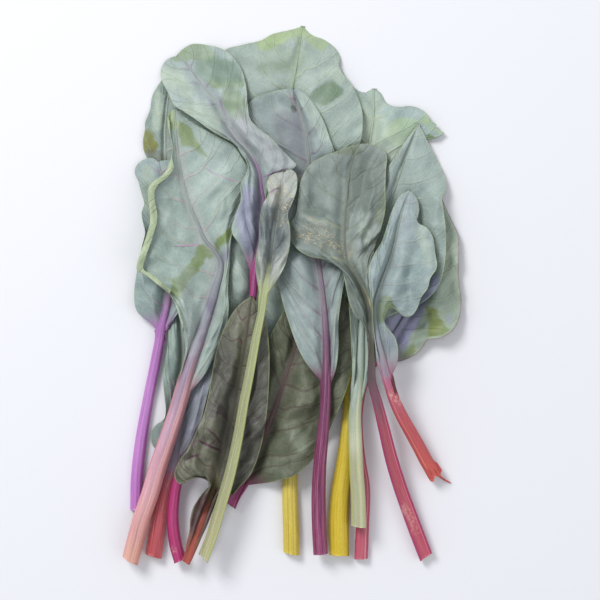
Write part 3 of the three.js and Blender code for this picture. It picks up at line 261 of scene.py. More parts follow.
            ("pale", [(-64.3, 69.7), (-52.2, 81.7)], 12.1, 0.4), ("pale", [(-81.7, 52.9), (-71.0, 41.5)], 9.4, 0.35), ("pale", [(-44.2, 20.1),
            (-50.9, 1.3)], 6.7, 0.35), ("pale", [(-72.3, 21.4), (-65.6, 5.4)], 8.7, 0.35)],
        creases=[([(-80.3, 21.4), (-73.6, 4.0), (-64.3, -24.1)], 2.2, 5), ([(-93.7, 42.9), (-83.0, 48.2), (-73.6, 41.5)], 1.5, 4), ([(-58.9, 59.6),
            (-46.8, 65.7), (-37.5, 63.0)], -1.5, 5), ([(-53.5, 17.4), (-64.3, -4.0), (-68.3, -30.8)], -1.5, 6)],
    ),
    dict(
        name="leaf_04_magenta", slot="leaf_magenta_stalk", side="back",
        stalk=[(-75.0, -178.9, 8.7), (-78.3, -166.8, 8.4), (-80.0, -151.4, 8.0), (-79.0, -136.7, 7.1), (-76.8, -126.0, 6.0), (-73.2, -117.9, 5.8),
            (-67.9, -108.5, 5.8), (-61.6, -97.8, 5.9), (-54.9, -85.8, 6.0), (-42.5, -65.7, 6.0), (-32.8, -38.9, 5.4), (-27.4, -10.7, 5.0)],
        rib=[(-24.1, 16.1), (-20.0, 39.5), (-18.7, 59.6), (-20.7, 71.0), (-22.0, 81.7), (-26.7, 92.5), (-31.4, 98.5), (-36.1, 103.2),
            (-42.8, 113.2), (-46.8, 121.9), (-52.2, 131.3), (-61.6, 142.0), (-71.0, 155.4), (-77.7, 160.8)],
        left=[(-28.1, 16.1), (-34.8, 32.8), (-40.1, 41.5), (-36.8, 54.9), (-34.1, 63.0), (-34.1, 75.0), (-30.1, 81.7), (-30.1, 87.8), (-34.8, 95.1),
            (-38.1, 101.2), (-44.2, 103.9), (-54.9, 109.9), (-64.9, 117.2), (-73.0, 122.6), (-79.0, 126.6), (-83.0, 134.7), (-87.7, 144.1),
            (-88.4, 151.4), (-84.4, 158.1), (-77.7, 160.8)],
        right=[(-20.0, 16.1), (-14.7, 32.8), (-14.7, 48.2), (-17.4, 59.6), (-17.4, 69.7), (-13.3, 77.7), (-5.3, 81.7), (1.4, 84.4), (3.1, 86.4),
            (0.7, 89.1), (-7.3, 97.2), (-15.3, 105.2), (-22.7, 111.2), (-27.7, 116.6), (-29.7, 126.6), (-30.8, 140.0), (-34.8, 152.8),
            (-44.2, 163.5), (-54.9, 167.5), (-66.9, 168.8), (-74.3, 164.8), (-77.7, 160.8)],
        veins=10,
        skew=0.9,
        fray=0.4,
        ruffle=0.45,
        curl=0.35,
        frill=0.4,
        profile=[(-0.1, 0.06, 0.2), (0.45, -0.05, 0.08), (-0.6, -0.05, 0.08)],
        bands=[(-0.85, 0.18, (146, 30, 86), 0.7), (0.8, 0.2, (150, 32, 90), 0.7), (-0.1, 0.12, (206, 84, 140), 0.4)],
        marks=[([(-21.4, 77.1), (-13.3, 81.1), (0.1, 85.8)], 0.8), ([(-23.4, 46.2), (-20.0, 37.5), (-18.7, 29.5)], 0.4), ([(-48.8, 132.7),
            (-46.8, 126.0), (-44.8, 121.3), (-42.1, 115.9)], 0.6)],
        rib_w=[(0, 4.6), (0.2, 3.0), (0.5, 1.9), (0.7, 1.0), (1.0, 0.7)],
        patches=[("dark", [(-64.9, 156.8), (-57.6, 159.5), (-49.5, 158.8), (-40.1, 156.8), (-33.4, 150.1), (-32.1, 142.7), (-44.8, 142.7),
            (-57.6, 142.7), (-64.3, 147.4)], 2.01, 0.75), ("olive", [(-57.6, 143.4), (-48.2, 145.4), (-34.8, 144.7), (-30.8, 139.4), (-41.5, 138.0),
            (-53.5, 138.7)], 0.8, 0.75), ("olive", [(-46.8, 138.0), (-34.8, 136.7), (-30.8, 127.3), (-30.8, 117.9), (-37.5, 116.6), (-42.8, 121.9),
            (-46.8, 130.0)], 1.07, 0.65)],
        # the violet spot along the lower blade is painted violet-grey shade
        spots=[("olive", [(-75.0, 162.1), (-65.6, 164.2), (-57.6, 160.1)], 6.7, 0.7), ("pale", [(-84.4, 147.4), (-71.0, 138.0)], 8.7, 0.6),
            ("pale", [(-66.9, 124.6), (-52.2, 115.2)], 8.7, 0.5), ("bright", [(-36.1, 112.6), (-20.0, 99.2), (-2.6, 87.8)], 14.1, 0.75),
            ("violet", [(-28.1, 65.7), (-26.7, 22.8)], 11.4, 0.8), ("bruise", [(-79.7, -170.9), (-78.3, -171.5)], 2.0, 0.7)],
        creases=[([(-64.3, 152.8), (-50.9, 150.1), (-37.5, 140.7)], -2.2, 6), ([(-53.5, 127.3), (-46.8, 130.0), (-34.8, 130.0)], 2.0, 4),
            ([(-22.7, 79.1), (-10.7, 81.7), (1.4, 84.4)], 2.0, 4), ([(-83.0, 140.7), (-71.0, 127.3), (-52.2, 113.9)], 1.5, 6)],
    ),
    dict(
        name="leaf_05_dark", slot="leaf_dark", side="face",
        stalk=[(-71.0, -179.6, 4.7), (-69.6, -176.2, 4.7)],
        rib=[(-68.3, -172.9), (-65.6, -166.2), (-60.9, -154.1), (-56.2, -140.7), (-51.5, -127.3), (-46.8, -111.2), (-42.1, -91.1), (-36.8, -64.3),
            (-31.4, -34.2), (-26.7, -1.3)],
        left=[(-71.0, -170.9), (-69.6, -164.8), (-68.3, -157.5), (-67.6, -150.1), (-66.3, -143.4), (-62.9, -137.3), (-59.6, -132.7),
            (-56.2, -129.3), (-53.5, -127.3), (-53.5, -124.6), (-56.9, -122.6), (-62.9, -121.3), (-68.9, -123.3), (-73.6, -126.0), (-77.0, -122.6),
            (-77.7, -117.9), (-75.0, -111.2), (-70.3, -105.2), (-67.6, -99.8), (-62.9, -90.5), (-58.9, -81.1), (-56.2, -70.4), (-53.5, -54.3),
            (-50.2, -37.5), (-44.2, -20.8), (-36.1, -8.0), (-26.7, -1.3)],
        right=[(-64.9, -173.5), (-61.6, -165.5), (-55.5, -152.1), (-50.9, -140.0), (-46.8, -131.3), (-40.1, -134.0), (-34.8, -128.6),
            (-28.1, -121.3), (-21.4, -104.5), (-17.4, -84.4), (-15.3, -61.0), (-15.3, -34.2), (-18.7, -14.1), (-26.7, -1.3)],
        veins=10,
        skew=-0.5,
        crumple=2.4,
        lobe_soft=4.5,
        # the dark patch on the right of the blade and the dark spots along its middle are partly the leaf's own dark
        # green and partly painted shade
        patches=[("dark", [(-24.1, -22.8), (-16.0, -29.5), (-12.7, -44.2), (-13.3, -71.0), (-16.0, -91.1), (-22.7, -108.5), (-29.4, -124.6),
            (-36.1, -134.0), (-37.5, -121.9), (-32.8, -97.8), (-28.1, -67.7), (-25.4, -44.2)], 2.01, 0.75)],
        rib_w=[(0, 3.9), (0.22, 3.2), (0.3, 2.2), (1.0, 0.9)],
        wander=0.5,
        marks=[([(-72.3, -111.2), (-66.3, -107.9), (-59.6, -106.5)], 0.9), ([(-64.3, -96.5), (-56.2, -100.5), (-48.8, -104.5),
            (-44.2, -110.6)], 0.9), ([(-68.3, -105.9), (-64.3, -96.5), (-62.2, -91.1)], 0.7), ([(-56.2, -76.4), (-46.8, -79.7), (-40.1, -89.1),
            (-36.1, -97.8)], 0.8), ([(-58.2, -87.8), (-52.2, -92.5), (-46.8, -101.8)], 0.7), ([(-30.8, -89.1), (-24.1, -84.4),
            (-15.3, -77.7)], 0.9), ([(-36.1, -112.6), (-26.7, -111.2)], 0.8), ([(-52.2, -69.7), (-46.8, -75.0), (-42.8, -84.4)], 0.6)],
        spots=[("violet", [(-57.6, -135.3), (-63.6, -146.1), (-67.6, -159.5), (-69.6, -168.8)], 5.4, 0.95), ("violet", [(-47.5, -134.0),
            (-53.5, -148.7), (-60.2, -163.5)], 4.0, 0.95), ("pale", [(-52.9, -111.2), (-52.2, -121.9)], 3.4, 0.6), ("dark", [(-46.8, -34.2),
            (-42.8, -71.0), (-42.8, -91.1), (-44.2, -117.9)], 8.0, 0.65), ("dark", [(-34.8, -91.1), (-37.5, -117.9)], 6.0, 0.4),
            ("dark", [(-48.8, -56.3), (-51.5, -68.3), (-54.2, -79.1)], 4.7, 0.6)],
        creases=[([(-71.0, -112.6), (-60.2, -108.5), (-54.9, -100.5)], 2.4, 3.5), ([(-54.9, -100.5), (-46.8, -108.5), (-41.5, -116.6)], 2.0, 3),
            ([(-56.2, -76.4), (-46.8, -80.4), (-40.1, -89.1)], 1.8, 3), ([(-64.3, -124.6), (-57.6, -112.6)], -1.5, 4), ([(-42.8, -65.7),
            (-42.1, -77.7), (-44.2, -97.8)], -3.0, 4), ([(-53.5, -57.6), (-52.2, -71.0), (-56.2, -91.1)], 2.4, 5), ([(-56.9, -104.5),
            (-54.2, -114.6), (-50.2, -124.6)], 2.6, 3)],
    ),
    dict(
        name="leaf_13_crimson", slot="leaf_red_stalk", side="face",
        stalk=[(90.2, -176.9, 9.4), (84.5, -162.1, 9.7), (78.5, -146.1, 9.4), (71.8, -127.3, 9.0), (66.4, -109.9, 8.4), (61.7, -91.1, 7.5),
            (57.0, -72.4, 6.3), (53.0, -57.6, 5.4), (53.0, -45.6, 4.0)],
        rib=[(53.0, -34.8), (52.0, -22.8), (51.7, -11.4), (47.6, 2.7), (42.9, 12.1), (37.6, 21.4), (35.6, 32.8), (35.6, 44.2), (36.9, 63.0),
            (38.3, 77.7), (41.6, 91.1), (45.6, 101.2)],
        left=[(51.0, -30.8), (48.3, -18.8), (43.6, -16.1), (38.9, -8.0), (36.2, 2.7), (34.2, 12.7), (30.9, 20.1), (22.2, 23.5), (12.1, 24.8),
            (4.1, 29.5), (-0.6, 36.2), (-1.3, 45.6), (2.7, 53.6), (4.1, 63.0), (6.1, 76.4), (12.1, 86.4), (20.2, 91.8), (28.9, 95.1), (37.6, 98.5),
            (45.6, 101.2)],
        right=[(55.0, -32.2), (55.0, -18.8), (55.0, -4.0), (53.7, 9.4), (53.7, 21.4), (55.7, 32.8), (59.7, 44.2), (62.4, 56.3), (62.4, 69.7),
            (63.0, 83.1), (63.7, 92.5), (61.0, 97.8), (54.3, 100.5), (45.6, 101.2)],
        # the dark patches, and the dark spots along the valley creases, are painted shade in the leaf's folds and in
        # the hollow beside its midrib
        patches=[("dark", [(38.3, 89.8), (45.6, 96.5), (53.7, 96.5), (61.7, 92.5), (63.7, 79.1), (61.7, 63.0), (56.3, 54.3), (47.0, 53.6),
            (39.6, 56.3)], 2.35, 0.55), ("dark", [(29.5, 18.8), (36.2, 20.1), (42.9, 12.1), (49.6, -2.7), (53.0, -17.4), (52.3, -30.8),
            (45.6, -18.8), (38.9, -10.7), (34.9, 1.3)], 1.34, 0.55)],
        veins=9,
        skew=1.2,
        crumple=1.3,
        wander=0.4,
        rib_w=[(0, 3.6), (0.05, 2.6), (0.14, 1.9), (0.28, 1.5), (0.45, 1.1), (1.0, 0.6)],
        marks=[([(7.4, 51.6), (13.5, 50.9), (17.5, 48.2), (23.5, 48.2), (28.9, 45.6), (35.6, 42.2)], 0.35), ([(38.3, 18.8), (44.3, 10.7),
            (49.6, 1.3), (53.7, -10.7)], 0.9), ([(23.5, 25.5), (30.9, 23.5), (36.9, 20.1)], 0.7)],
        profile=[(-0.62, -0.05, 0.08), (0.6, -0.05, 0.08)],
        bands=[(-0.92, 0.24, (170, 50, 104), 0.85), (0.9, 0.24, (168, 48, 98), 0.85), (0.62, 0.05, (226, 150, 160), 0.6),
            (-0.55, 0.06, (150, 60, 80), 0.4)],
        spots=[("scar", [(5.4, 41.5), (18.8, 36.2), (30.9, 30.8), (36.9, 28.1)], 6.7, 1.0), ("scar", [(13.5, 45.6), (24.2, 41.5)], 6.0, 1.0),
            ("dark", [(37.6, 87.1), (37.6, 63.0), (36.2, 42.9)], 2.0, 0.5), ("dark", [(10.8, 84.4), (10.8, 65.7)], 1.7, 0.3), ("dark", [(9.4, 55.6),
            (20.2, 52.3)], 2.0, 0.4), ("dark", [(5.4, 26.8), (25.5, 21.4), (36.2, 14.7)], 2.7, 0.45), ("olive", [(61.7, 65.7),
            (59.0, 49.6)], 4.0, 0.5), ("dark", [(47.0, -10.7), (51.0, -27.5)], 4.0, 0.35), ("bruise", [(75.1, -143.4), (79.8, -151.4),
            (83.1, -158.1)], 4.0, 0.5), ("olive", [(29.5, 97.8), (42.9, 96.5)], 4.7, 0.5), ("pale", [(47.0, 45.6), (49.6, 36.2)], 4.0, 0.3),
            ("dark", [(41.6, 85.8), (42.3, 69.7), (40.3, 56.3)], 2.0, 0.5), ("dark", [(8.1, 37.5), (20.2, 33.5), (32.2, 29.5)], 6.7, 0.3)],
        creases=[([(36.9, 96.5), (37.6, 69.7), (35.6, 38.9)], -3.0, 4), ([(53.7, 96.5), (45.6, 73.0), (39.6, 52.9)], -2.6, 3.5), ([(61.7, 63.0),
            (55.0, 48.2), (48.3, 36.2)], -1.8, 4), ([(49.6, 59.6), (53.0, 48.2), (59.0, 52.3)], 1.6, 2.5), ([(7.4, 50.9), (20.2, 47.6),
            (28.9, 44.9), (35.6, 41.5), (46.3, 41.5)], 2.4, 2.6), ([(9.4, 55.6), (20.2, 52.9), (29.5, 50.2), (34.9, 47.6)], -2.4, 3), ([(7.4, 61.0),
            (14.8, 57.0), (20.2, 52.9)], -1.5, 2.5), ([(18.8, 86.4), (13.5, 69.7), (17.5, 52.9)], -1.6, 6), ([(37.6, 21.4), (45.6, 5.4),
            (51.0, -14.1)], 1.6, 3)],
    ),
    dict(
        name="leaf_14_red_bent", slot="leaf_red_stalk", side="back",
        stalk=[(96.5, -121.9, 8.7), (90.5, -112.6, 9.4), (86.2, -104.5, 8.7), (79.8, -93.1, 8.6), (73.1, -81.1, 7.8), (68.4, -71.0, 7.4),
            (65.7, -63.0, 6.7)],
        rib=[(62.4, -52.3), (59.7, -40.9), (57.0, -29.5), (55.3, -18.8), (55.0, -7.4), (58.4, 4.7), (63.7, 18.8), (67.7, 30.8), (71.1, 46.2),
            (75.1, 59.6), (79.1, 69.7)],
        left=[(58.4, -50.9), (56.3, -42.9), (55.0, -30.8), (53.7, -18.8), (53.0, -6.0), (51.0, 6.0), (51.0, 17.4), (54.3, 26.1), (59.7, 34.8),
            (63.0, 44.2), (67.1, 56.3), (72.4, 65.7), (79.1, 69.7)],
        right=[(67.1, -52.9), (69.7, -46.9), (70.4, -36.9), (68.4, -28.8), (63.7, -22.8), (60.4, -16.8), (60.4, -12.7), (62.4, -8.0), (65.1, -5.4),
            (67.7, -7.4), (70.4, -10.7), (73.8, -14.7), (79.1, -14.7), (83.1, -10.1), (85.8, -2.0), (89.8, 4.0), (91.2, 10.1), (95.9, 17.4),
            (95.2, 26.8), (93.9, 38.2), (89.8, 44.2), (83.8, 48.2), (85.2, 56.3), (83.8, 63.7), (79.1, 69.7)],
        veins=9,
        skew=1.0,
        fray=2.6,
        fray_rate=6.0,
        profile=[(-0.4, -0.05, 0.07), (0.3, -0.05, 0.07)],
        bands=[(-0.5, 0.06, (236, 160, 130), 0.5), (0.2, 0.05, (180, 60, 60), 0.5), (0.85, 0.15, (184, 64, 70), 0.5)],
        # the violet spot at the foot of the blade is painted violet-grey shade
        spots=[("olive", [(59.7, -14.7), (63.0, -5.4)], 4.7, 0.75), ("dark", [(67.7, -55.6), (69.1, -63.0)], 2.7, 1.0), ("bruise", [(65.7, -67.0),
            (71.1, -70.4)], 2.7, 0.8), ("violet", [(63.0, -37.5), (67.1, -24.1)], 6.0, 0.45), ("pale", [(85.8, 42.9), (91.2, 21.4)], 5.4, 0.4)],
        creases=[([(75.1, 39.5), (80.5, 21.4), (77.8, 2.7)], -1.8, 5), ([(88.5, 41.5), (91.2, 21.4), (85.8, 5.4)], 1.6, 4)],
    ),
    dict(
        name="leaf_06_lime", slot="leaf_lime_stalk", side="face",
        stalk=[(-59.0, -175.5, 7.9), (-53.5, -161.5, 7.6), (-47.9, -142.7, 7.5), (-42.1, -123.3, 7.4), (-37.7, -104.5, 7.0), (-34.5, -87.8, 6.6),
            (-32.0, -73.0, 6.3), (-27.7, -50.9, 6.0), (-23.4, -27.5, 5.4), (-20.0, -10.7, 4.7)],
        rib=[(-18.7, -0.7), (-15.3, 19.4), (-12.7, 37.5), (-10.0, 54.9), (-7.3, 69.7), (-5.3, 81.7)],
        left=[(-22.0, 1.3), (-24.1, 19.4), (-22.0, 36.2), (-21.4, 48.2), (-19.4, 59.6), (-16.0, 66.3), (-16.7, 75.0), (-13.3, 79.7), (-5.3, 81.7)],
        right=[(-15.3, 1.3), (-5.3, 17.4), (-1.3, 32.8), (-1.3, 44.2), (-2.6, 52.9), (0.7, 61.6), (3.4, 71.0), (2.7, 80.4), (-0.6, 83.1),
            (-5.3, 81.7)],
        veins=7,
        wander=0.4,
        marks=[([(-18.0, 65.0), (-11.3, 69.7), (-7.3, 71.0), (-4.0, 69.0)], 0.9)],
        skew=-1.5,
        fray=1.2,
        fray_rate=6.0,
        profile=[(0.35, -0.06, 0.06), (-0.35, -0.04, 0.06)],
        bands=[(0.35, 0.05, (160, 168, 96), 0.5), (-0.3, 0.05, (222, 226, 176), 0.5), (0.8, 0.2, (176, 184, 112), 0.5)],
        patches=[("dark", [(-20.0, 60.3), (-10.7, 59.0), (1.4, 64.3), (3.4, 54.9), (-0.6, 38.9), (-7.3, 25.5), (-16.0, 20.1), (-22.0, 29.5),
            (-24.7, 41.5), (-23.4, 53.6)], 2.68, 0.85)],
        spots=[("pale", [(-9.3, 77.7), (-5.3, 71.0)], 4.7, 0.5), ("scar", [(-13.3, 73.7), (-5.3, 64.3), (-8.0, 48.2)], 7.4, 0.9),
            ("dark", [(-14.7, 45.6), (-5.3, 46.9)], 2.0, 0.5), ("dark", [(-9.3, 36.2), (-5.3, 37.5)], 2.0, 0.5)],
        creases=[([(-16.0, 66.3), (-10.7, 71.0), (-4.0, 68.3)], 1.5, 3)],
    ),
]


def smooth(a, b, x):
    x = np.clip((np.asarray(x, float) - a) / (b - a), 0, 1)
    return x * x * (3 - 2 * x)


def catmull(points):
    """Dense centripetal Catmull-Rom curve through the points, and the index of each given point in it."""
    p = np.asarray(points, float)[:, :2]
    p = np.vstack([2 * p[0] - p[1], p, 2 * p[-1] - p[-2]])
    out, marks, n_all = [], [], 0
    for i in range(1, len(p) - 2):
        p0, p1, p2, p3 = p[i - 1:i + 3]
        a, b, c = (max(np.hypot(*(q - r)) ** 0.5, 1e-3) for q, r in ((p1, p0), (p2, p1), (p3, p2)))
        m1 = p2 - p1 + b * ((p1 - p0) / a - (p2 - p0) / (a + b))
        m2 = p2 - p1 + b * ((p3 - p2) / c - (p3 - p1) / (b + c))
        n = max(6, int(np.hypot(*(p2 - p1)) / 0.4))
        t = np.linspace(0, 1, n, endpoint=False)[:, None]
        out.append((2 * (p1 - p2) + m1 + m2) * t ** 3 + (-3 * (p1 - p2) - 2 * m1 - m2) * t ** 2 + m1 * t + p1)
        marks.append(n_all)
        n_all += n
    out.append(p[-2:-1])
    marks.append(n_all)
    return np.vstack(out), marks


class Curve:
    def __init__(self, points):
        self.p, self.marks = catmull(points)
        self.s = np.concatenate([[0], np.cumsum(np.hypot(*np.diff(self.p, axis=0).T))])
        self.length = self.s[-1]

    def at(self, s):
        return np.stack([np.interp(s, self.s, self.p[:, k]) for k in (0, 1)], -1)

    def mark(self, i):
        return self.s[self.marks[i]]


def blur(a, sigma, axis=0):
    """Gaussian blur along one axis, with the ends held."""
    if sigma <= 0:
        return a
    r = max(1, int(3 * sigma))
    k = np.exp(-0.5 * (np.arange(-r, r + 1) / sigma) ** 2)
    k /= k.sum()
    pad = [(0, 0)] * a.ndim
    pad[axis] = (r, r)
    b = np.pad(a, pad, mode="edge")
    out = np.zeros_like(a)
    for i, w in enumerate(k):
        out += w * np.take(b, range(i, i + a.shape[axis]), axis=axis)
    return out


def noise2(x, y, seed):
    """Smooth value noise, -1 to 1, one feature per unit."""
    rng = np.random.RandomState(seed)
    table = rng.uniform(-1, 1, (64, 64))
    xi, yi = np.floor(x).astype(int), np.floor(y).astype(int)
    fx, fy = x - xi, y - yi
    fx, fy = fx * fx * (3 - 2 * fx), fy * fy * (3 - 2 * fy)
    g = lambda i, j: table[i % 64, j % 64]
    return ((g(xi, yi) * (1 - fx) + g(xi + 1, yi) * fx) * (1 - fy)
            + (g(xi, yi + 1) * (1 - fx) + g(xi + 1, yi + 1) * fx) * fy)


def fractal(x, y, seed, octaves=3):
    return sum(noise2(x * 2 ** k, y * 2 ** k, seed + 17 * k) * 0.55 ** k for k in range(octaves)) / 1.5


def to_line(x, y, pts):
    """Distance in plan from every (x, y) to a polyline."""
    best = np.full(np.shape(x), 1e9)
    for (ax, ay), (bx, by) in zip(pts[:-1], pts[1:]):
        dx, dy = bx - ax, by - ay
        t = np.clip(((x - ax) * dx + (y - ay) * dy) / (dx * dx + dy * dy + 1e-12), 0, 1)
        best = np.minimum(best, np.hypot(x - ax - t * dx, y - ay - t * dy))
    return best


def beside(x, y, pts):
    """Signed distance in plan to a polyline, and how far inside its ends a point lies."""
    best, sign, within = np.full(np.shape(x), 1e9), np.ones(np.shape(x)), np.zeros(np.shape(x))
    total = sum(math.hypot(b[0] - a[0], b[1] - a[1]) for a, b in zip(pts[:-1], pts[1:]))
    run = 0.0
    for (ax, ay), (bx, by) in zip(pts[:-1], pts[1:]):
        dx, dy = bx - ax, by - ay
        n = math.hypot(dx, dy)
        t = ((x - ax) * dx + (y - ay) * dy) / (n * n)
        c = np.clip(t, 0, 1)
        d = np.hypot(x - ax - c * dx, y - ay - c * dy)
        closer = d < best
        best = np.where(closer, d, best)
        sign = np.where(closer, np.where(dx * (y - ay) - dy * (x - ax) < 0, -1.0, 1.0), sign)
        within = np.where(closer, np.minimum(run + t * n, total - run - t * n), within)
        run += n
    return best * sign, within


def inward(x, y, pts):
    """How far inside a closed outline every (x, y) lies; negative outside."""
    odd = np.zeros(np.shape(x), bool)
    for (ax, ay), (bx, by) in zip(pts, pts[1:] + pts[:1]):
        if ay != by:
            odd ^= ((ay > y) != (by > y)) & (x < (bx - ax) * (y - ay) / (by - ay) + ax)
    return to_line(x, y, pts + pts[:1]) * np.where(odd, 1.0, -1.0)


def veins_of(leaf, t, u, side, seed):
    """Coordinates that are whole numbers along the side veins, and along their forks, on one half of a blade."""
    rng = np.random.RandomState(seed)
    n = leaf["veins"]
    start = np.clip((np.arange(n) + 0.35 + rng.uniform(-0.22, 0.22, n)) / n, 0.01, 0.97) ** leaf.get("vein_bias", 1.0)
    rise = leaf.get("vein_rise", 0.24) * rng.uniform(0.8, 1.25, n)
    fork_at = rng.uniform(0.28, 0.55, n)
    q1, q2 = np.zeros((len(t), len(u))), np.zeros((len(t), len(u)))
    bend = leaf.get("vein_bend", 0.5)
    for k, uu in enumerate(u):
        shape = (1 - bend) * uu + bend * uu ** 2.2
        at = start + (1 - start) * rise * shape
        at = np.maximum.accumulate(at + 1e-4 * np.arange(n))
        gap = np.diff(np.append(at, at[-1] + (1.02 - at[-1])))
        first, last = max(at[0] / 0.9, 1e-3), max((1.0 - at[-1]) / 0.9, 1e-3)
        xs = np.concatenate([[at[0] - first], at, [at[-1] + last]])
        ys = np.concatenate([[-1.0], np.arange(n), [n]])
        q1[:, k] = np.interp(t, xs, ys)
        split = smooth(0, 1, (uu - fork_at) / (1 - fork_at)) ** 0.9
        xs2 = np.concatenate([[at[0] - first], at + split * 0.48 * gap, [1.3]])
        q2[:, k] = np.interp(t, np.maximum.accumulate(xs2 + 1e-5 * np.arange(len(xs2))), ys)
    fork = np.interp(t, start, fork_at)[:, None]
    s2 = smooth(-0.02, 0.07, u[None, :] - fork)
    return q1, q2, s2


def per_unit(q, x, y):
    """Millimetres of plan per unit of q."""
    qi, qj = np.gradient(q)
    xi, xj = np.gradient(x)
    yi, yj = np.gradient(y)
    det = xi * yj - xj * yi
    det = np.where(np.abs(det) < 1e-3, 1e-3, det)
    gx, gy = (qi * yj - qj * yi) / det, (qj * xi - qi * xj) / det
    return np.clip(1 / np.maximum(np.hypot(gx, gy), 1e-3), 0.5, 60)


def plan(leaf, index):
    """The leaf's flat grid: rows from the cut end to the tip, columns from the left margin to the right."""
    line = Curve([p[:2] for p in leaf["stalk"]] + leaf["rib"])
    base, total = line.mark(len(leaf["stalk"])), line.length
    left, right = Curve(leaf["left"]), Curve(leaf["right"])
    n_stalk = max(6, int(round(base / STALK_STEP)))
    n_blade = max(40, int(round((total - base) / BLADE_STEP)))
    s = np.concatenate([base * np.linspace(0, 1, n_stalk, endpoint=False) ** 1.08, base + (total - base) * np.linspace(0, 1, n_blade + 1)])
    t = np.clip((s - base) / (total - base), 0, 1)
    rows = len(s)
    mid = line.at(s)
    ahead, behind = line.at(np.minimum(s + 1.5, total)), line.at(np.maximum(s - 1.5, 0))
    d = ahead - behind
    d /= np.hypot(*d.T)[:, None]
    d = np.stack([blur(d[:, 0], 3), blur(d[:, 1], 3)], -1)
    d /= np.hypot(*d.T)[:, None]
    nrm = np.stack([d[:, 1], -d[:, 0]], -1)
    st = np.array(leaf["stalk"])
    run = np.concatenate([[0], np.cumsum(np.hypot(*np.diff(st[:, :2], axis=0).T))])
    w = np.interp(s / base, run / run[-1] * 0.985, st[:, 2])
    w = blur(w, 3)
    w0 = st[-1, 2]
    blade = s > base - 1e-9
    half = np.where(blade, 0.5 * (RIB_TIP_WIDTH + (w0 * 0.85 - RIB_TIP_WIDTH) * (1 - t) ** leaf.get("rib_taper", 2.0)) * np.minimum(1, 5 * (1 - t) + 0.2), 0.425 * w)
    full_half = half
    if "rib_w" in leaf:
        half = np.where(blade, 0.5 * np.interp(t, *zip(*leaf["rib_w"])), half)
    half = blur(half, 2)
    # margins: the stalk's own edges, led over into the blade's outline
    lead = smooth(base - 14, base, s)[:, None]
    mar = {}
    for sgn, c in ((-1, left), (1, right)):
        edge = mid + nrm * (sgn * w / 2)[:, None]
        j0 = np.argmax(blade)
        off = c.at(0.0) - edge[j0]
        m = edge + off * lead
        m[blade] = c.at(t[blade] * c.length)
        mar[sgn] = m
    # the tip is a short blunt edge
    for sgn in (-1, 1):
        mar[sgn][-1] = mid[-1] + nrm[-1] * sgn * 1.6
    f_rib = 0.85 * np.sin(np.linspace(0, math.pi / 2, RIB_COLS + 1)) ** 0.92
    u_bl = 1 - (1 - np.linspace(0, 1, BLADE_COLS + 1)[1:]) ** 1.35
    cols = [(-1, u, None) for u in u_bl[::-1]] + [(-1, 0, f) for f in f_rib[:0:-1]] + [(0, 0, 0.0)] + [(1, 0, f) for f in f_rib[1:]] + [(1, u, None) for u in u_bl]
    sgn = np.array([c[0] for c in cols], float)
    u = np.array([c[1] for c in cols], float)
    f = np.array([0.85 if c[2] is None else c[2] for c in cols]) * np.where(sgn < 0, -1, 1)
    x, y = np.zeros((rows, len(cols))), np.zeros((rows, len(cols)))
    j0 = int(np.argmax(blade))
    for k in range(len(cols)):
        p = mid + nrm * (half * f[k] / 0.85)[:, None]
        if u[k] > 0:
            # toward the midrib the outline's lobes fade out
            m = mar[int(sgn[k])].copy()
            sigma = leaf.get("lobe_soft", 13) * (1 - u[k])
            soft = np.stack([blur(m[j0:, c] - np.linspace(m[j0, c], m[-1, c], rows - j0), sigma) + np.linspace(m[j0, c], m[-1, c], rows - j0) for c in (0, 1)], -1)
            tt = t[j0:, None]
            hold = smooth(0, 0.12, tt) * (1 - smooth(0.92, 1, tt))
            m[j0:] = m[j0:] * (1 - hold) + soft * hold
            p = p + (m - p) * u[k]
        x[:, k], y[:, k] = p[:, 0], p[:, 1]
    # ragged or skewed cut: slide the first rows along the stalk
    fr = np.where(u > 0, np.sign(sgn) * (0.85 + 0.15 * u), f)
    cut = leaf.get("skew", 0.0) * fr + leaf.get("fray", 0.25) * fractal(fr * leaf.get("fray_rate", 2.2) + 7.3 * index, fr * 0 + index, 31 + index, 3)
    slide = (1 - smooth(0, 11, s))[:, None] * cut[None, :]
    x += slide * d[:, :1]
    y += slide * d[:, 1:]
    return dict(x=x, y=y, s=s, t=t, u=u, sgn=sgn, f=fr, w=w, w0=w0, half=half, base=base, total=total, blade=blade, nrm=nrm, mid=mid, stalk_rows=int((~blade).sum()), slim=np.clip(half / full_half, 0.3, 1))


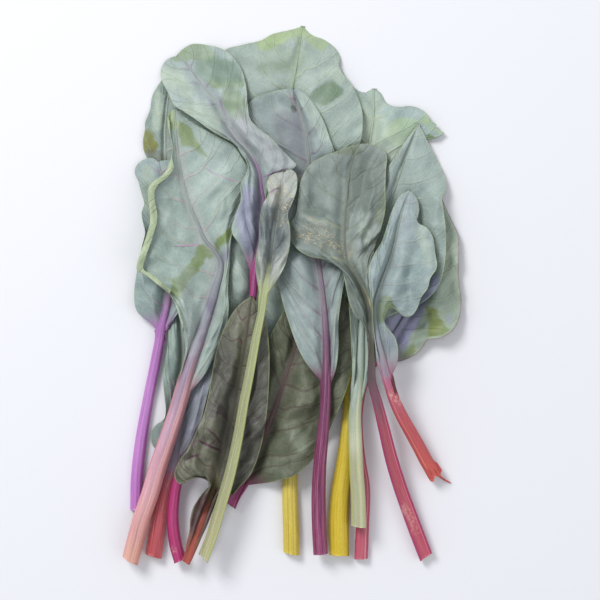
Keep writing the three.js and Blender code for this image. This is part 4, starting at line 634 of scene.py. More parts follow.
def offsets(leaf, g):
    """How far the two skins stand off the middle surface: toward the leaf's back, and toward its face."""
    f, t, w, w0 = g["f"][None, :], g["t"][:, None], g["w"][:, None], g["w0"]
    u = g["u"][None, :]
    depth = STALK_DEPTH * w
    wave = sum(high * depth * np.exp(-((f - at) / wide) ** 2) for at, high, wide in leaf.get("profile", [(0.0, 0.03, 0.3)]))
    back_s = depth * 0.62 * np.sqrt(np.maximum(0.0, 1 - 0.955 * f * f)) + wave
    face_s = depth * 0.38 * (0.45 + 0.55 * f * f) + 0.09 - 0.25 * wave * (1 - f * f)
    face_s = face_s * (1 - 0.55 * smooth(0.88, 1.0, np.abs(f)))
    rib_depth = (RIB_TIP_DEPTH + (w0 * STALK_DEPTH * 0.62 - RIB_TIP_DEPTH) * (1 - t) ** leaf.get("rib_sink", 2.0)) * g["slim"][:, None]
    skin = 0.30 - 0.10 * u
    v = np.clip(np.abs(f) / 0.85, 0, 1)
    dome = np.sqrt(np.maximum(0.0, 1 - v * v)) * (u == 0) + 0.0 * u
    back_b = np.maximum(skin, 0) + np.maximum(0, rib_depth - skin) * dome
    face_b = skin + np.where(u == 0, -0.22 * np.minimum(rib_depth, 2.0) * (1 - v * v) * 0 + 0.12 * rib_depth * (1 - v * v), 0.0)
    k = np.where(g["blade"], 1 - smooth(0, 16, g["t"] * (g["total"] - g["base"])), 1.0)[:, None]
    back, face = k * back_s + (1 - k) * back_b, k * face_s + (1 - k) * face_b
    return back, face, k


def sample(field, x, y):
    fx, fy = np.clip((x - X0) / CELL, 0, NX - 1.001), np.clip((y - Y0) / CELL, 0, NY - 1.001)
    i, j = fx.astype(int), fy.astype(int)
    a, b = fx - i, fy - j
    return (field[j, i] * (1 - a) + field[j, i + 1] * a) * (1 - b) + (field[j + 1, i] * (1 - a) + field[j + 1, i + 1] * a) * b


def finer(a, n=3):
    """The grid resampled n times finer both ways."""
    r, c = a.shape
    i, j = np.linspace(0, r - 1, (r - 1) * n + 1), np.linspace(0, c - 1, (c - 1) * n + 1)
    a = np.stack([np.interp(j, np.arange(c), row) for row in a])
    i0 = np.minimum(i.astype(int), r - 2)
    w = (i - i0)[:, None]
    return a[i0] * (1 - w) + a[i0 + 1] * w


def splat(x, y, z, into):
    i, j = np.clip(np.rint((x - X0) / CELL).astype(int), 0, NX - 1), np.clip(np.rint((y - Y0) / CELL).astype(int), 0, NY - 1)
    np.maximum.at(into, (j.ravel(), i.ravel()), z.ravel())


def spread(field):
    out = field.copy()
    for dy in (-1, 0, 1):
        for dx in (-1, 0, 1):
            out = np.maximum(out, np.roll(np.roll(field, dy, 0), dx, 1))
    return out


def bend_over(field, radius, reach=38):
    """Raises everything near a high point, so that nothing bends over it tighter than the radius."""
    for axis in (0, 1):
        out = field.copy()
        for d in range(1, reach + 1):
            drop = (d * CELL) ** 2 / (2 * radius)
            a = np.full_like(field, -1e9)
            b = np.full_like(field, -1e9)
            if axis == 0:
                a[d:], b[:-d] = field[:-d], field[d:]
            else:
                a[:, d:], b[:, :-d] = field[:, :-d], field[:, d:]
            out = np.maximum(out, np.maximum(a, b) - drop)
        field = out
    return field


def lifts(leaf, g, index, x, y, covered, pucker, q):
    """Ruffles, swells, puckers and creases of the blade, as heights over what it would be draped on.
    The leaves above press them down."""
    t, u, sgn = g["t"][:, None], g["u"][None, :], g["sgn"][None, :]
    phase = index * 1.7 + np.where(sgn < 0, 0, 2.1)
    room = np.sin(math.pi * np.minimum(1, 0.08 + t)) * g["blade"][:, None]
    wave = lambda n, p: 0.5 + 0.5 * np.sin(2 * math.pi * n * t + p)
    length = g["total"] - g["base"]
    lift = room * (leaf.get("ruffle", 1.0) * RUFFLE * u * u * wave(RUFFLE_WAVES, phase) + BILLOW * np.sin(math.pi * u) * wave(BILLOW_WAVES, phase * 1.3))
    fine = fractal(x / 21.0 + 3.1 * index, y / 21.0, 100 + index, 3)
    lift = lift + room * SWELL * smooth(0.03, 0.4, u) * (0.75 + fine)
    # folds that run with the side veins, and sharper ones that run anywhere
    crumple = leaf.get("crumple", 1.0)
    fold = 1 - np.abs(fractal(q * 0.62 + 3.3 * index + 40 * (sgn > 0), u * 1.3 + 1.7 * index + 0 * q, 120 + index, 2)) * 2.0
    lift = lift + room * FOLDS * crumple * smooth(0.03, 0.35, u) * np.maximum(fold, 0) ** 2
    ridged = 1 - np.abs(fractal(x / 19.0 + 5.7 * index, y / 19.0 + 2.2, 140 + index, 3)) * 2.4
    lift = lift + room * CRUMPLE * crumple * smooth(0.03, 0.3, u) * np.maximum(ridged, 0) ** 1.6
    small = noise2(t * length / 9.0 + index, u * 1.5 + 5 * (sgn > 0), 200 + index)
    lift = lift + room * leaf.get("frill", 1.0) * 2.2 * u ** 3 * (0.6 + small)
    lift = lift * (1 - 0.85 * covered) + pucker * (1 - 0.4 * covered)
    for pts, height, width in leaf.get("creases", []):
        d = to_line(x, y, pts)
        lift = lift + height * np.exp(-(d / width) ** 2) * smooth(0.0, 0.15, u + 0 * t)
    return np.maximum(lift, 0) + 0 * u


def build(leaf, index, ground, g, covered):
    x, y = g["x"], g["y"]
    back, face, k = offsets(leaf, g)
    back_up = leaf["side"] == "back"
    up, down = (back, face) if back_up else (face, back)
    j0 = g["stalk_rows"]
    t, u, sgn = g["t"], g["u"], g["sgn"]
    rows, cols = x.shape
    # side veins
    q1, q2, s2 = np.zeros((rows, cols)), np.zeros((rows, cols)), np.zeros((rows, cols))
    d1, d2 = np.ones((rows, cols)), np.ones((rows, cols))
    for side in (-1, 1):
        block = np.where((sgn == side) & (u > 0))[0]
        a, b, c = veins_of(leaf, t, u[block], side, 500 + 10 * index + (side > 0))
        wob = leaf.get("wander", 0.2) * fractal(x[:, block] / 16.0, y[:, block] / 16.0, 300 + index, 2) * smooth(0.02, 0.3, u[block])[None, :]
        a, b = a + wob, b + wob
        q1[:, block], q2[:, block], s2[:, block] = a, b, c
        d1[j0:, block], d2[j0:, block] = per_unit(a[j0:], x[j0:, block], y[j0:, block]), per_unit(b[j0:], x[j0:, block], y[j0:, block])
        ribs = np.where((sgn == side) & (u == 0))[0]
        edge = block[0] if side > 0 else block[-1]
        for m in (q1, q2):
            m[:, ribs] = m[:, [edge]]
    # puckers between the side veins: the blade swells toward its face there
    bulge = 0.5 - 0.5 * np.cos(2 * math.pi * q1)
    cells = 0.75 + 0.4 * noise2(q1 * 1.6 + 9, u[None, :] * 5.5 + 3 * index + 0 * q1, 400 + index)
    size = leaf.get("pucker", 1.15) * np.clip(d1 / 13.0, 0.15, 1.15) * smooth(0.0, 0.16, u)[None, :] * (1 - 0.35 * u[None, :] ** 2) * smooth(0, 0.04, t)[:, None] * (1 - smooth(0.93, 1.0, t))[:, None]
    pucker = size * bulge * cells
    if back_up:
        pucker = size * 1.0 - pucker
    under = sample(covered, x, y)
    lift = lifts(leaf, g, index, x, y, under, pucker, q1)
    # what the leaf needs to clear
    rib_or_stalk = np.abs(g["f"]) < 0.86
    stiff = np.repeat(rib_or_stalk[None, :], rows, 0)
    stiff[:j0] = True
    fx, fy, fd = finer(x), finer(y), finer(down)
    need = np.full((NY, NX), -1e9)
    fz = sample(ground, fx, fy) + LEAF_GAP + fd
    splat(fx, fy, fz, need)
    z_under = sample(ground, x, y) + LEAF_GAP + down
    row_need = np.where(stiff, z_under, -1e9).max(1)
    s = g["s"]
    line = (row_need[None, :] - (s[None, :] - s[:, None]) ** 2 / (2 * STALK_BEND_RADIUS)).max(1)
    soft_line = blur(line, 9)
    line = line + np.maximum(0, soft_line - line)
    line = np.maximum(blur(line, 3), row_need)
    line = np.maximum(blur(line, 2), row_need)
    zl = np.repeat(line[:, None], cols, 1)
    fzl, fst = finer(zl), finer(stiff.astype(float)) > 0.99
    splat(fx[fst], fy[fst], fzl[fst], need)
    soft = bend_over(need, BLADE_BEND_RADIUS)
    soft = np.maximum(blur(blur(soft, 1.6, 0), 1.6, 1), soft - 0.25)
    zs = np.maximum(sample(soft, x, y), 0)
    wgt = smooth(0.0, 0.22, u)[None, :] * (1 - k)
    z = zl * (1 - wgt) + (zs + lift) * wgt
    z = z + leaf.get("raise", 0.0) * smooth(0, 0.3, t)[:, None]
    for _ in range(3):
        z[1:-1, 1:-1] = 0.5 * z[1:-1, 1:-1] + 0.125 * (z[:-2, 1:-1] + z[2:, 1:-1] + z[1:-1, :-2] + z[1:-1, 2:])
        z[:, 0], z[:, -1] = z[:, 1], z[:, -2]
    z = np.maximum(z, np.where(stiff, -1e9, z_under))
    z[:j0] = np.maximum(z[:j0], row_need[:j0, None])
    # rolled and curled margins
    p = roll(leaf, g, x, y, z, index, under)
    n = normals(p)
    top, bottom = p + n * up[..., None], p - n * down[..., None]
    lowest = bottom[..., 2].min()
    if lowest < 0.02:
        under = np.maximum(0, 0.02 - bottom[..., 2])
        bottom[..., 2] += under
        top[..., 2] += np.maximum(0, under - 0.0) * 0.6
    hi = np.full((NY, NX), -1e9)
    splat(finer(top[..., 0], 2), finer(top[..., 1], 2), finer(top[..., 2], 2), hi)
    np.maximum(ground, spread(hi), out=ground)
    g.update(p=p, top=top, bottom=bottom, q1=q1, q2=q2, s2=s2, d1=d1, d2=d2, k=np.repeat(k, cols, 1), stiff=stiff, back_up=back_up, bulge=bulge)
    return g


def roll(leaf, g, x, y, z, index, under):
    """Turns the margins up and, where a leaf says so, over onto the blade."""
    p = np.stack([x, y, z], -1)
    t, u, sgn = g["t"], g["u"], g["sgn"]
    length = g["total"] - g["base"]
    for side in (-1, 1):
        block = np.where((sgn == side) & (u > 0))[0]
        edge = block[0] - 1 if side > 0 else block[-1] + 1
        order = np.concatenate([[edge], block]) if side > 0 else np.concatenate([[edge], block[::-1]])
        m = 1.6 * np.maximum(0, noise2(t * length / 17.0 + 3 * side, t * 0 + index, 600 + index) + 0.15) * leaf.get("curl", 1.0)
        m *= smooth(0.03, 0.12, t) * (1 - smooth(0.9, 0.99, t)) * (1 - 0.9 * under[:, order[-1]])
        radius = np.full(len(t), 3.4)
        for s_, t0, t1, flap, r_ in leaf.get("rolls", []):
            if s_ != side:
                continue
            on = smooth(t0 - 0.02, t0 + 0.035, t) * (1 - smooth(t1 - 0.035, t1 + 0.02, t))
            m = m * (1 - on) + on * (math.pi * r_ + flap)
            radius = radius * (1 - on) + on * r_
        for j in range(g["stalk_rows"], len(t)):
            if m[j] < 0.05:
                continue
            row = p[j, order]
            dist = np.concatenate([[0], np.cumsum(np.hypot(*np.diff(row[:, :2], axis=0).T))])
            width = dist[-1]
            r, arc = radius[j], m[j]
            if width < 4 * r:
                arc *= width / (4 * r)
            start = width - r * math.sin(min(math.pi / 2, arc / r))
            total = start + arc
            uu = dist / width
            a = uu * total
            phi = np.clip((a - start) / r, 0, None)
            turn = np.minimum(phi, math.pi)
            out = np.where(a < start, a, start + r * np.sin(turn) - np.maximum(0, a - start - math.pi * r))
            rise = r * (1 - np.cos(turn))
            over = np.maximum(0, a - start - math.pi * r)
            rise = rise - 0.10 * over
            for c in (0, 1, 2):
                p[j, order, c] = np.interp(out, dist, row[:, c])
            beyond = np.maximum(0, out - width)
            p[j, order, 2] += rise
    return p


def normals(p):
    di, dj = np.gradient(p, axis=0), np.gradient(p, axis=1)
    n = np.cross(dj, di)
    n /= np.maximum(np.linalg.norm(n, axis=-1, keepdims=True), 1e-9)
    bad = ~np.isfinite(n).all(-1)
    n[bad] = (0, 0, 1)
    return n


def pile(leaves):
    """Every leaf of the pile, draped, from the bottom up."""
    plans = [plan(leaf, i) for i, leaf in enumerate(leaves)]
    prints = []
    for g in plans:
        m = np.zeros((NY, NX))
        splat(finer(g["x"]), finer(g["y"]), finer(g["x"] * 0 + 1), m)
        prints.append(m)
    ground = np.full((NY, NX), -LEAF_GAP)
    out = []
    for i, (leaf, g) in enumerate(zip(leaves, plans)):
        above = np.zeros((NY, NX))
        for m in prints[i + 1:]:
            above = np.maximum(above, m)
        covered = blur(blur(above, 4, 0), 4, 1)
        out.append(build(leaf, i, ground, g, covered))
    return out


# ---- GEOMETRY ENDS ------------------------------------------------------------------------------------

# ---- colours, sRGB 0-255 ------------------------------------------------------------------------------
# back and face: the two sides of the blade, each with two variations. stalk: stops from the cut end (0)
# through the foot of the blade (0.5) to the leaf tip (1).
CRISP = ("olive", "dark")
MASKS = ("frac", "olive", "bright", "pale", "violet", "dark", "scar", "bruise")


def look(back, face, **kw):
    near = lambda c, d: tuple(max(0, min(255, a + b)) for a, b in zip(c, d))
    back, face = near(back, (6, 5, 21)), near(face, (5, 4, 12))
    L = dict(
        back=back, back2=near(back, (-12, -9, -12)), back3=near(back, (12, 12, 8)),
        face=face, face2=near(face, (-14, -12, -12)), face3=near(face, (14, 14, 12)),
        net_back=near(back, (20, 20, 12)), net_face=near(face, (-22, -20, -16)),
        vein_out=near(back, (26, 24, 10)), flesh=(214, 212, 170))
    L.update(kw)
    return L


LOOKS = {
    # violet_c and violet_rib: painted violet-grey shade of the hollow, on the blade and on the rib
    "leaf_12_coral": look(
        (151, 167, 137), (104, 128, 80), stalk=[(0.0, (194, 94, 114)), (0.3, (180, 80, 102)), (0.44, (160, 92, 120)), (0.5, (126, 112, 138)), (0.6, (132, 132, 152)), (0.75, (150, 164, 146)), (1.0, (160, 176, 156))],
        stalk_pale=(236, 160, 160), stalk_edge=(180, 60, 96), vein=(172, 178, 134), vein_show=0.5, rim=(150, 92, 106), rim_mix=0.6,
        olive_c=(132, 144, 84), violet_c=(158, 158, 190), violet_rib=0.7, dark_c=(104, 120, 104)),
    "leaf_10_yellow_wide": look(
        (154, 172, 154), (110, 134, 84), stalk=[(0.0, (218, 190, 52)), (0.3, (214, 192, 70)), (0.5, (190, 190, 104)), (0.62, (166, 182, 140)), (0.8, (158, 176, 152)), (1.0, (160, 178, 156))],
        stalk_pale=(238, 220, 116), stalk_edge=(196, 166, 40), vein=(174, 186, 148), vein_show=0.45, olive_c=(168, 190, 154), dark_c=(112, 134, 112)),
    # the stalk stops at 0.37 and 0.43 are lightened as painted light against the shade cast there; violet_c and
    # violet_rib are painted violet-grey shade of the hollow
    "leaf_03_red": look(
        (136, 154, 134), (102, 126, 78), stalk=[(0.0, (190, 86, 94)), (0.3, (188, 92, 102)), (0.37, (188, 106, 122)), (0.43, (176, 128, 150)), (0.49, (166, 142, 160)), (0.515, (150, 154, 156)), (0.6, (164, 176, 168)), (1.0, (170, 182, 170))],
        stalk_pale=(234, 148, 138), stalk_edge=(176, 70, 66), vein=(166, 166, 160), vein_show=0.45, olive_c=(130, 132, 70), violet_c=(156, 158, 174), violet_rib=0.9, dark_c=(118, 116, 100)),
    "leaf_01_violet": look(
        (148, 165, 152), (104, 128, 82), stalk=[(0.0, (188, 120, 194)), (0.3, (186, 130, 196)), (0.5, (176, 120, 184)), (0.62, (164, 130, 164)), (1.0, (164, 168, 158))],
        stalk_pale=(222, 160, 216), stalk_edge=(170, 80, 160), vein=(170, 140, 166), flush=0.1, dark_rib=(132, 92, 142), dark_c=(100, 116, 104)),
    "leaf_08_yellow": look(
        (155, 171, 149), (104, 128, 76), stalk=[(0.0, (216, 195, 80)), (0.3, (220, 201, 98)), (0.5, (212, 198, 100)), (0.62, (176, 186, 118)), (0.74, (156, 172, 140)), (1.0, (152, 170, 142))],
        stalk_pale=(240, 224, 110), stalk_edge=(200, 170, 30), vein=(164, 180, 142), vein_show=0.5, bright_c=(168, 190, 128), dark_c=(112, 134, 108), olive_c=(128, 146, 112)),
    # its dark green is partly the leaf's own colour and partly painted shade of the hollow under the leaves above
    "leaf_07_dark_short": look(
        (110, 118, 92), (100, 106, 78), stalk=[(0.0, (150, 60, 110)), (0.4, (142, 54, 100)), (0.52, (112, 62, 80)), (0.62, (92, 70, 70)), (1.0, (90, 82, 70))],
        stalk_pale=(186, 104, 150), stalk_edge=(110, 36, 76), vein=(88, 56, 64), vein_out=(84, 76, 64), vein_show=0.4, net_face=(72, 68, 54)),
    "leaf_11_pale_lime": look(
        (153, 169, 149), (108, 132, 82), stalk=[(0.0, (178, 177, 146)), (0.25, (176, 177, 144)), (0.34, (196, 200, 176)), (0.4, (176, 184, 164)), (0.47, (160, 172, 158)), (0.55, (156, 170, 160)), (0.75, (160, 176, 164)), (1.0, (162, 178, 166))],
        stalk_pale=(228, 230, 184), stalk_edge=(184, 194, 120), vein=(170, 186, 166), vein_show=0.5, stalk_dark=(216, 214, 208), pale_c=(176, 190, 184), violet_c=(168, 168, 206), dark_c=(84, 96, 98), rim=(176, 192, 144), rim_mix=0.45),
    "leaf_09_purple": look(
        (140, 154, 138), (98, 120, 76), stalk=[(0.0, (154, 74, 112)), (0.25, (144, 68, 106)), (0.5, (124, 72, 104)), (0.66, (136, 120, 136)), (0.76, (138, 146, 142)), (0.88, (148, 158, 152)), (1.0, (150, 160, 152))],
        stalk_pale=(190, 122, 156), stalk_edge=(104, 34, 62), vein=(134, 100, 124), vein_show=0.5, streaks=2.2, stalk_dark=(168, 140, 156), violet_c=(126, 130, 136), pale_c=(178, 194, 182), mark=(150, 124, 130)),
    "leaf_02_pink": look(
        (152, 169, 148), (176, 190, 148), stalk=[(0.0, (224, 172, 152)), (0.1, (218, 162, 160)), (0.24, (212, 162, 174)), (0.4, (194, 156, 176)), (0.48, (172, 144, 166)), (0.525, (152, 132, 156)), (0.57, (138, 124, 146)), (0.64, (130, 124, 144)), (0.7, (132, 134, 146)), (0.77, (146, 152, 154)), (0.84, (154, 164, 158)), (1.0, (154, 168, 156))],
        stalk_pale=(244, 200, 194), pale_to=(0.36, 0.52), stalk_edge=(214, 140, 120), vein=(186, 166, 170), vein_out=(160, 172, 146), vein_show=0.5, bright_c=(166, 188, 128),
        olive_c=(124, 142, 90), violet_c=(138, 122, 158), pale_c=(184, 198, 192), mark=(180, 154, 174), rim=(172, 190, 138)),
    "leaf_04_magenta": look(
        (154, 170, 152), (118, 142, 96), stalk=[(0.0, (178, 56, 112)), (0.2, (172, 58, 118)), (0.42, (160, 68, 126)), (0.5, (156, 86, 138)), (0.6, (152, 106, 158)), (0.7, (156, 126, 160)), (0.76, (160, 168, 164)), (1.0, (160, 174, 164))],
        stalk_pale=(214, 110, 160), stalk_edge=(144, 30, 84), vein=(152, 130, 156), vein_out=(164, 178, 160), vein_show=0.38,
        violet_c=(154, 154, 180), bright_c=(172, 174, 178), olive_c=(138, 158, 118), dark_c=(124, 146, 128), mark=(156, 116, 160)),
    "leaf_05_dark": look(
        (108, 112, 84), (112, 114, 90), stalk=[(0.0, (176, 84, 74)), (0.35, (172, 82, 72)), (0.5, (168, 80, 66)), (0.585, (160, 78, 62)), (0.612, (124, 96, 60)), (0.645, (106, 106, 62)), (0.72, (94, 94, 62)), (1.0, (84, 82, 66))],
        stalk_pale=(226, 140, 110), pale_to=(0.5, 0.6), stalk_edge=(96, 56, 50), vein=(92, 54, 66), vein_out=(88, 62, 64), vein_show=0.5, net_face=(72, 66, 52), violet_c=(106, 80, 82), dark_c=(80, 80, 76),
        mark=(80, 46, 66), mark_width=0.75, pale_c=(150, 142, 126), stalk_dark=(206, 190, 190)),
    "leaf_13_crimson": look(
        (132, 146, 122), (140, 152, 138), stalk=[(0.0, (190, 86, 106)), (0.2, (182, 84, 100)), (0.3, (168, 80, 96)), (0.38, (124, 78, 94)), (0.44, (92, 78, 80)), (0.5, (84, 88, 74)), (0.56, (102, 102, 84)), (0.64, (120, 126, 110)), (1.0, (120, 132, 122))],
        stalk_pale=(222, 150, 146), stalk_edge=(168, 52, 100), edge_mix=0.7, fade_from=0.60, fade_to=0.82, pale_to=(0.24, 0.4), vein=(126, 130, 108), vein_out=(140, 150, 124), vein_show=0.4, olive_c=(112, 122, 86), dark_c=(88, 98, 92), mark=(196, 186, 130), mark_width=0.3, stalk_dark=(196, 184, 184), rim=(170, 182, 128), rim_mix=0.45),
    "leaf_14_red_bent": look(
        (148, 163, 150), (100, 122, 80), stalk=[(0.0, (204, 92, 84)), (0.25, (192, 88, 94)), (0.4, (186, 94, 114)), (0.46, (178, 106, 138)), (0.5, (150, 138, 158)), (0.56, (146, 150, 158)), (0.68, (148, 160, 156)), (1.0, (150, 164, 154))],
        stalk_pale=(236, 146, 130), stalk_edge=(176, 54, 60), vein=(158, 160, 158), vein_show=0.4, flush=0.15, violet_c=(120, 122, 140), olive_c=(122, 138, 100), rim=(176, 192, 140), rim_mix=0.5),
    "leaf_06_lime": look(
        (130, 144, 116), (172, 178, 164), stalk=[(0.0, (180, 177, 136)), (0.2, (162, 165, 126)), (0.5, (166, 175, 132)), (0.62, (166, 176, 138)), (0.76, (158, 166, 150)), (1.0, (160, 168, 154))],
        stalk_pale=(222, 224, 168), stalk_edge=(166, 176, 100), vein=(146, 136, 142), vein_show=0.5, mark=(140, 116, 140), pale_c=(192, 194, 188), dark_c=(108, 118, 120)),
}

# ---- meshes -------------------------------------------------------------------------------------------
FIELDS = ("lat", "lon", "along", "u", "rib", "side", "q1", "d1", "q2", "d2", "s2", "edge", "cutend", "mark", "markon") + MASKS


def strip(a, b, flip=False):
    """Quads between two equally long runs of vertex numbers."""
    q = np.stack([a[:-1], a[1:], b[1:], b[:-1]], -1)
    return q[:, ::-1] if flip else q


def mesh_of(leaf, g, index):
    top, bottom = g["top"], g["bottom"]
    rows, cols = top.shape[:2]
    n = rows * cols
    T = np.arange(n).reshape(rows, cols)
    B = T + n
    quad = lambda m: np.stack([m[:-1, :-1], m[:-1, 1:], m[1:, 1:], m[1:, :-1]], -1).reshape(-1, 4)
    faces = [quad(T), quad(B)[:, ::-1]]
    faces.append(strip(T[:, 0], B[:, 0], False))
    faces.append(strip(T[:, -1], B[:, -1], True))
    # the cut end and the tip are small grids between the two skins
    k = 5
    verts = [top.reshape(-1, 3), bottom.reshape(-1, 3)]
    caps = []
    count = 2 * n
    for row, outward in ((0, True), (rows - 1, False)):
        a, b = top[row], bottom[row]
        inner = []
        for m in range(1, k):
            w = m / k
            p = a * (1 - w) + b * w
            if row == 0:
                d = top[0] - top[2]
                d = d / np.maximum(np.linalg.norm(d, axis=-1, keepdims=True), 1e-9)
                thick = np.linalg.norm(a - b, axis=-1, keepdims=True)
                p = p + d * (0.10 * fractal(g["f"] * 5 + 3 * m, g["f"] * 0 + m * 1.7 + index, 70 + index, 2)[:, None] - 0.07) * np.minimum(thick, 3)
            verts.append(p)
            inner.append(np.arange(count, count + cols))
            count += cols
        layers = [T[row]] + inner + [B[row]]
        caps.append(layers)
        for lo, hi in zip(layers[:-1], layers[1:]):
            faces.append(strip(lo, hi, not outward))
    faces = np.concatenate(faces)
    verts = np.concatenate(verts) / 1000.0
    me = bpy.data.meshes.new(leaf["name"] + "_leaf")
    me.vertices.add(len(verts))
    me.vertices.foreach_set("co", verts.astype(np.float32).ravel())
    me.loops.add(faces.size)
    me.loops.foreach_set("vertex_index", faces.astype(np.int32).ravel())
    me.polygons.add(len(faces))
    me.polygons.foreach_set("loop_start", np.arange(0, faces.size, 4, dtype=np.int32))
    me.update(calc_edges=True)
    me.polygons.foreach_set("use_smooth", np.ones(len(faces), bool))
    # per-vertex fields for the shader
    s, t = g["s"], g["t"]
    both = lambda a: np.concatenate([a.ravel(), a.ravel()])
    full = lambda a: np.broadcast_to(a, (rows, cols))
    dist = np.concatenate([np.zeros((rows, 1)), np.cumsum(np.linalg.norm(np.diff(g["p"], axis=1), axis=-1), 1)], 1)
    mid_col = cols // 2
    lat = dist - dist[:, mid_col:mid_col + 1]
    along = np.where(g["blade"], 1 + t, s / g["base"])[:, None]
    rib = 1 - smooth(0.84, 0.862, np.abs(g["f"]))[None, :] * (1 - g["k"])
    rim = np.minimum(dist, dist[:, -1:] - dist)
    data = dict(
        lat=full(lat), lon=full(s[:, None]), along=full(along), u=full(g["u"][None, :] * g["blade"][:, None]), rib=full(rib),
        q1=g["q1"], d1=g["d1"], q2=g["q2"], d2=g["d2"], s2=g["s2"], edge=full(rim))
    for m in MASKS:
        data[m] = np.zeros((rows, cols))
    data["frac"] = full(g["f"][None, :] / np.where(g["blade"], 0.85, 1.0)[:, None]).copy()
    for ch, pts, width, strength in leaf.get("spots", []):
        d = to_line(g["x"], g["y"], pts if len(pts) > 1 else [pts[0], pts[0]])
        d = d + 0.36 * width * fractal(g["x"] / (0.8 * width + 2), g["y"] / (0.8 * width + 2), 800 + index, 4)
        core = 0.8 if ch in CRISP else 0.35
        data[ch] = np.maximum(data[ch], strength * (1 - smooth(core * width, width, d)))
    for ch, pts, soft, strength in leaf.get("patches", []):
        d = inward(g["x"], g["y"], pts) + 0.7 * soft * fractal(g["x"] / 5.0, g["y"] / 5.0, 820 + index, 3)
        data[ch] = np.maximum(data[ch], strength * smooth(-soft, soft, d))
    # drawn veins: the signed distance to the nearest one, and where it shows
    data["mark"], data["markon"] = np.full((rows, cols), 4.0), np.zeros((rows, cols))
    for pts, strength in leaf.get("marks", []):
        d, within = beside(g["x"], g["y"], pts)
        nearer = np.abs(d) < np.abs(data["mark"])
        data["mark"] = np.where(nearer, d, data["mark"])
        data["markon"] = np.where(nearer, strength * smooth(-0.5, 6.0, within) * (1 - smooth(2.4, 3.6, np.abs(d))), data["markon"])
    for name in FIELDS:
        at = me.attributes.new(name, "FLOAT", "POINT")
        v = np.zeros(len(verts), np.float32)
        if name == "side":
            v[:n] = 0.0 if g["back_up"] else 1.0
            v[n:2 * n] = 1.0 if g["back_up"] else 0.0
            v[2 * n:] = 0.0
        elif name == "cutend":
            v[2 * n:2 * n + (k - 1) * cols] = 1.0
        else:
            v[:2 * n] = both(np.asarray(data[name], np.float32))
            r0 = np.asarray(data[name])[0]
            r1 = np.asarray(data[name])[-1]
            v[2 * n:] = np.concatenate([np.tile(r0, k - 1), np.tile(r1, k - 1)])
        at.data.foreach_set("value", v)
    # one flat layout: the top skin, the bottom skin, and the cut face between them
    uv = me.uv_layers.new(name="OFBake")
    vv = 0.01 + 0.98 * np.repeat((s / s[-1])[:, None], cols, 1)
    wide = np.maximum(np.abs(lat).max(), 1)
    hu = 0.225 * lat / wide
    U = np.zeros(len(verts))
    V = np.zeros(len(verts))
    U[:n], U[n:2 * n] = (0.24 + hu).ravel(), (0.76 + hu).ravel()
    V[:n] = V[n:2 * n] = vv.ravel()
    lu = np.zeros((len(faces), 4))
    lv = np.zeros((len(faces), 4))
    lu[:], lv[:] = U[faces], V[faces]
    a = 2 * (rows - 1) * (cols - 1)
    for side, col, base_u in ((0, 0, 0.004), (1, cols - 1, 0.988)):
        f0 = a + side * (rows - 1)
        idx = faces[f0:f0 + rows - 1]
        lu[f0:f0 + rows - 1] = np.where(idx < n, base_u, base_u + 0.006)
    f0 = a + 2 * (rows - 1)
    for c, (layers, v0) in enumerate(zip(caps, (0.03, 0.95))):
        cu = {}
        fr = (lat[0 if c == 0 else -1] / max(np.abs(lat[0 if c == 0 else -1]).max(), 1e-6))
        nf = (cols - 1) * k
        blk = faces[f0:f0 + nf]
        level = np.repeat(np.arange(k), cols - 1)
        for corner in range(4):
            vi = blk[:, corner]
            colnum = np.where(vi < 2 * n, vi % cols, (vi - 2 * n) % cols)
            lev = level + np.isin(vi, np.concatenate(layers[1:])).astype(int) * 0
            which = np.zeros(len(vi), int)
            for q, lay in enumerate(layers):
                which[(vi >= lay[0]) & (vi <= lay[-1])] = q
            lu[f0:f0 + nf, corner] = 0.5 + 0.012 * fr[colnum]
            lv[f0:f0 + nf, corner] = v0 + 0.02 * which / k
        f0 += nf
    uv.data.foreach_set("uv", np.stack([lu.ravel(), lv.ravel()], -1).astype(np.float32).ravel())
    me.validate(clean_customdata=False)
    ob = bpy.data.objects.new(leaf["name"] + "_leaf", me)
    bpy.context.scene.collection.objects.link(ob)
    return ob


# ---- materials ----------------------------------------------------------------------------------------
def lin(rgb):
    """sRGB 0-255 to linear RGBA."""
    c = [v / 255.0 for v in rgb]
    return tuple(v / 12.92 if v <= 0.04045 else ((v + 0.055) / 1.055) ** 2.4 for v in c) + (1.0,)


